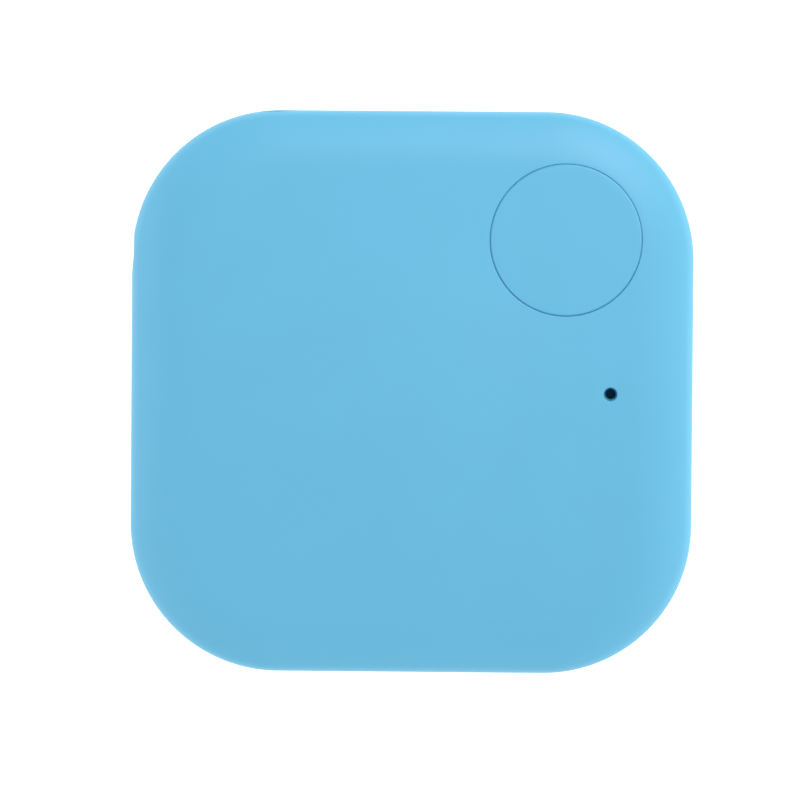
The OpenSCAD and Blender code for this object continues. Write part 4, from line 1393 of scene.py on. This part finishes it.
# ---- Cell holder and contacts ----
# Two black nylon arms on a ring, pegged into the board, hold the coin cell. A formed steel spring bears
# on the cell's rim for its positive side, and three fingers press up under it for its negative side.
holder_high = in_mm(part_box("cell_holder"))[1]
holder_in, holder_out = 10.2, 11.0
shelf_z = board_top + 0.02
holder = bmesh.new()
arm = [(holder_in, shelf_z), (holder_out, shelf_z)]
arm += [(holder_out, holder_high.z), (holder_in, holder_high.z)]
for start, sweep in ((80, 125), (245, 125)):
    turned(holder, cell_x, cell_y, rounded(arm, 0.12), 60, math.radians(start), math.radians(sweep))
shelf_in, shelf_t = 9.0, 0.25
turned(holder, cell_x, cell_y, ring_section(shelf_in, holder_in + 0.1, shelf_z, shelf_z + shelf_t), 120)
peg_r, peg_tip_r = 0.45, 0.4
peg = [(0, board_low.z), (peg_tip_r, board_low.z), (peg_r, board_low.z + 0.06)]
peg += [(peg_r, shelf_z + 0.02), (0, shelf_z + 0.02)]
for x, y in peg_places:
    turned(holder, x, y, peg, 24)
to_piece(holder, "cell_holder_moulding", [black_nylon], "rear_case", ["cell_holder"])

cell_low, cell_high = in_mm(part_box("cell_can"))
cell_r = (cell_high.x - cell_low.x) / 2
spring_t = 0.2
spring_back = cell_r + 1.4
touch_side = 3.9
touch = math.sqrt((cell_r + spring_t / 2 + 0.02) ** 2 - touch_side ** 2)
toward = Vector((1, 1, 0)).normalized()
along = Vector((toward.y, -toward.x, 0))
spring = bmesh.new()
wave = [(-5, touch + 0.15), (-touch_side, touch), (-1.6, spring_back)]
wave += [(-x, y) for x, y in wave[::-1]]
strip(spring, wave, spring_t, 2.3, along, toward, (cell_x, cell_y, board_top + 0.3 + 1.15), 0.8)
foot = [(spring_back, shelf_z + 0.5), (spring_back, shelf_z + 0.1), (spring_back + 1.9, shelf_z + 0.1)]
strip(spring, foot, spring_t, 3, toward, z_way, (cell_x, cell_y, 0), 0.25)
to_piece(
    spring, "positive_contact_spring", [spring_steel], "rear_case", ["positive_contact"],
)

fingers = bmesh.new()
contact_r, contact_t = 1.6, 0.1
turned(fingers, cell_x, cell_y, ring_section(0, contact_r, board_top, shelf_z + 0.12, 0.03), 48)
crest = in_mm(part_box("negative_contact"))[1].z - 0.06
finger_z, finger_w = shelf_z + 0.05, 2
finger = [(1.2, finger_z), (2.4, finger_z), (5, crest), (5.9, crest - 0.14)]
for i in range(3):
    turn = i * 2 * math.pi / 3
    out = Vector((math.cos(turn), math.sin(turn), 0))
    strip(fingers, finger, contact_t, finger_w, out, z_way, (cell_x, cell_y, 0), 0.5)
to_piece(
    fingers, "negative_contact_fingers", [spring_steel], "rear_case", ["negative_contact"],
)


# ---- Coin cell ----
# A 20 mm lithium cell: a drawn stainless can, positive, crimped over a sealing ring onto the cap, which
# is negative and faces the board. The flat stack inside is cathode, felt separator and lithium.
can_t = 0.25
skirt = cell_low.z + 0.2
section = [
    (0, cell_high.z, 0), (8.6, cell_high.z, 0.3), (8.75, cell_high.z - 0.04, 0.2),
    (9.5, cell_high.z - 0.04, 0.6), (cell_r, cell_high.z - 0.3, 0.4), (cell_r, skirt, 0.15),
    (cell_r - 0.2, cell_low.z, 0.08), (9.2, cell_low.z, 0.04), (9.2, skirt, 0),
    (cell_r - can_t, skirt, 0.04), (cell_r - can_t, cell_high.z - can_t, 0.15),
    (0, cell_high.z - can_t, 0),
]
can = bmesh.new()
turned(can, cell_x, cell_y, rounded(section, 0.1, 5), 160)
plus_arm, plus_line = 1.5, 0.35
for size in ((2 * plus_arm, plus_line, 0.03), (plus_line, 2 * plus_arm, 0.03)):
    soft_box(can, size, (cell_x, cell_y - 5.2, cell_high.z), 0.012)

# Nickel-plated stainless steel, drawn and then brushed round and round: bright, with fine rings
# 0.2 mm apart that stretch the highlights across the face.
steel, tree, shader = new_material("Brushed nickel-plated steel", Metallic=1.0, Roughness=0.27)
place = add_node(tree, "ShaderNodeTexCoord").outputs["Object"]
centred = add_node(tree, "ShaderNodeMapping", {"Vector": place, "Location": (-cell_x * MM, -cell_y * MM, 0)})
brush = {"Vector": centred.outputs[0], "Scale": 2 * math.pi / 20 / (0.2 * MM)}
brush.update({"Distortion": 3.0, "Detail": 2.0, "Detail Scale": 0.4})
brushed = add_node(tree, "ShaderNodeTexWave", brush, wave_type="RINGS", rings_direction="Z")
pattern_on(tree, shader, brushed.outputs["Fac"], ((0, "#B4B5B4"), (1, "#CBCCCA")), 0.0015)
to_piece(can, "cell_can_drawn", [steel], "coin_cell", ["cell_can"])

stack_low, stack_high = in_mm(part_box("cell_cap"))
cap_out = (stack_high.x - stack_low.x) / 2
sheet = 0.22
section = [
    (0, stack_low.z, 0), (7.9, stack_low.z, 0.2), (cap_out, stack_low.z + 0.3, 0.3),
    (cap_out, stack_high.z, 0.05), (cap_out - sheet, stack_high.z, 0.05),
    (cap_out - sheet, stack_low.z + 0.4, 0.2), (7.8, stack_low.z + sheet, 0.2),
    (0, stack_low.z + sheet, 0),
]
cup = rounded(section, 0.1, 4)
turned_piece("cell_cap_drawn", steel, "coin_cell", "cell_cap", cell_x, cell_y, cup, 120)

seal_low, seal_high = in_mm(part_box("cell_gasket"))
seal_in, seal_out = cap_out + 0.02, cell_r - can_t - 0.02
section = [(seal_in, seal_low.z), (9.18, seal_low.z), (9.18, skirt + 0.02, 0)]
section += [(seal_out, skirt + 0.02), (seal_out, seal_high.z), (seal_in, seal_high.z)]
seal = rounded(section, 0.03)
seal_plastic = grained(
    "Moulded polypropylene seal", "#282C30", "#383D42", 0.2, 0.005, Roughness=0.45, IOR=1.49,
)
turned_piece(
    "cell_seal_ring", seal_plastic, "coin_cell", "cell_gasket", cell_x, cell_y, seal, 120,
)

cathode = grained("Pressed manganese mix", "#28282A", "#454548", 0.15, 0.05, 5.0, Roughness=0.9, IOR=1.6)
felt = grained("White separator felt", "#DEDEDA", "#F2F2EF", 0.1, 0.03, 6.0, Roughness=0.95, IOR=1.5)
# Lithium foil: soft silvery grey, dulled by handling in dry air.
lithium = grained("Rolled lithium foil", "#7D8083", "#A5A8AB", 0.8, 0.01, 3.0, Metallic=1.0, Roughness=0.5)
layers_in_cell = (
    ("cell_cathode_disc", "cell_cathode", cathode, "cathode_mix"),
    ("cell_separator_disc", "cell_separator", felt, "separator_felt"),
    ("cell_anode_disc", "cell_anode", lithium, "lithium_metal"),
)
for name, node, material, slot in layers_in_cell:
    low, high = in_mm(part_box(node))
    section = ring_section(0, high.x - cell_x, low.z, high.z, 0.02)
    turned_piece(name, material, "coin_cell", node, cell_x, cell_y, section, 96)


# ---- Studio ----
# A pale floor that the tag lies on, a soft bright room round it, one broad lamp from the upper right
# and the camera, which looks almost straight down on the face from about 0.5 m.
camera_away = 500
camera_tilt_x, camera_tilt_y, camera_roll = math.radians(1.35), math.radians(2.19), math.radians(0.42)
camera_target = Vector((-0.80, -0.603, 3.3))
camera_lens = 340.3

floor_mesh = bpy.data.meshes.new("floor")
floor_reach = 1.5
floor_corners = [(x * floor_reach, y * floor_reach, 0) for x, y in corner_ways]
floor_mesh.from_pydata(floor_corners, [], [(0, 1, 2, 3)])
studio_floor = bpy.data.objects.new("floor", floor_mesh)
bpy.context.scene.collection.objects.link(studio_floor)
paper, tree, shader = new_material("White paper sweep", Roughness=0.9, Emission_Strength=1.1)
shader.inputs["Base Color"].default_value = linear("#9A9A9A")
shader.inputs["Emission Color"].default_value = linear("#FFFFFF")
shader.inputs["Specular IOR Level"].default_value = 0.0
floor_mesh.materials.append(paper)
studio_floor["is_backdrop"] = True

world = bpy.data.worlds.new("Soft room")
bpy.context.scene.world = world
world.use_nodes = True
tree = world.node_tree
tree.nodes.clear()
way = add_node(tree, "ShaderNodeTexCoord").outputs["Generated"]
axes_there = add_node(tree, "ShaderNodeSeparateXYZ", {"Vector": way})


def grey(value):
    return (value, value, value, 1)


# The room is brightest low down at both sides, dimmer overhead and behind the camera's foot
high_up = ((0.0, grey(1.0)), (0.55, grey(0.38)))
by_height = add_node(tree, "ShaderNodeValToRGB", {"Fac": axes_there.outputs["Z"]}, high_up)
depth_there = add_node(tree, "ShaderNodeMapRange", {"Value": axes_there.outputs["Y"], "From Min": -1.0})
deep = ((0.05, grey(0.84)), (0.45, grey(1.0)), (0.6, grey(0.95)), (0.86, grey(0.4)))
by_depth = add_node(tree, "ShaderNodeValToRGB", {"Fac": depth_there.outputs["Result"]}, deep)
aside = add_node(tree, "ShaderNodeMath", {0: axes_there.outputs["X"]}, operation="ABSOLUTE")
sideways = ((0.45, grey(0.56)), (0.9, grey(1.0)))
by_side = add_node(tree, "ShaderNodeValToRGB", {"Fac": aside.outputs[0]}, sideways)
room = add_node(
    tree, "ShaderNodeVectorMath", {0: by_height.outputs["Color"], 1: by_depth.outputs["Color"]},
    operation="MULTIPLY",
)
glow = add_node(
    tree, "ShaderNodeVectorMath", {0: room.outputs[0], 1: by_side.outputs["Color"]}, operation="MULTIPLY",
)
room_strength = 2.78
sky = add_node(tree, "ShaderNodeBackground", {"Color": glow.outputs[0], "Strength": room_strength})
add_node(tree, "ShaderNodeOutputWorld", {"Surface": sky.outputs[0]})

lamp_width, lamp_watts = 0.13, 0.24
lamp_place = Vector((0.07, 0.13, 0.18))
lamp_data = bpy.data.lights.new("softbox", "AREA")
lamp_data.shape = "DISK"
lamp_data.size = lamp_width
lamp_data.energy = lamp_watts
lamp = bpy.data.objects.new("softbox", lamp_data)
bpy.context.scene.collection.objects.link(lamp)
lamp.visible_camera = False
lamp.matrix_world = Matrix.Translation(lamp_place) @ lamp_place.to_track_quat("Z", "Y").to_matrix().to_4x4()

away = Vector((math.tan(camera_tilt_x), math.tan(camera_tilt_y), 1)).normalized()
right = Vector((0, 1, 0)).cross(away).normalized()
up = away.cross(right)
turned_right = math.cos(camera_roll) * right + math.sin(camera_roll) * up
turned_up = math.cos(camera_roll) * up - math.sin(camera_roll) * right
camera_data = bpy.data.cameras.new("camera")
camera_data.lens = camera_lens
camera_data.sensor_width = 36
camera_data.clip_start = 0.01
camera = bpy.data.objects.new("camera", camera_data)
bpy.context.scene.collection.objects.link(camera)
axes = Matrix((turned_right, turned_up, away)).transposed().to_4x4()
camera.matrix_world = Matrix.Translation((camera_target + camera_away * away) * MM) @ axes
bpy.context.scene.camera = camera
bpy.context.scene.view_settings.view_transform = "Standard"

low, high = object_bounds()
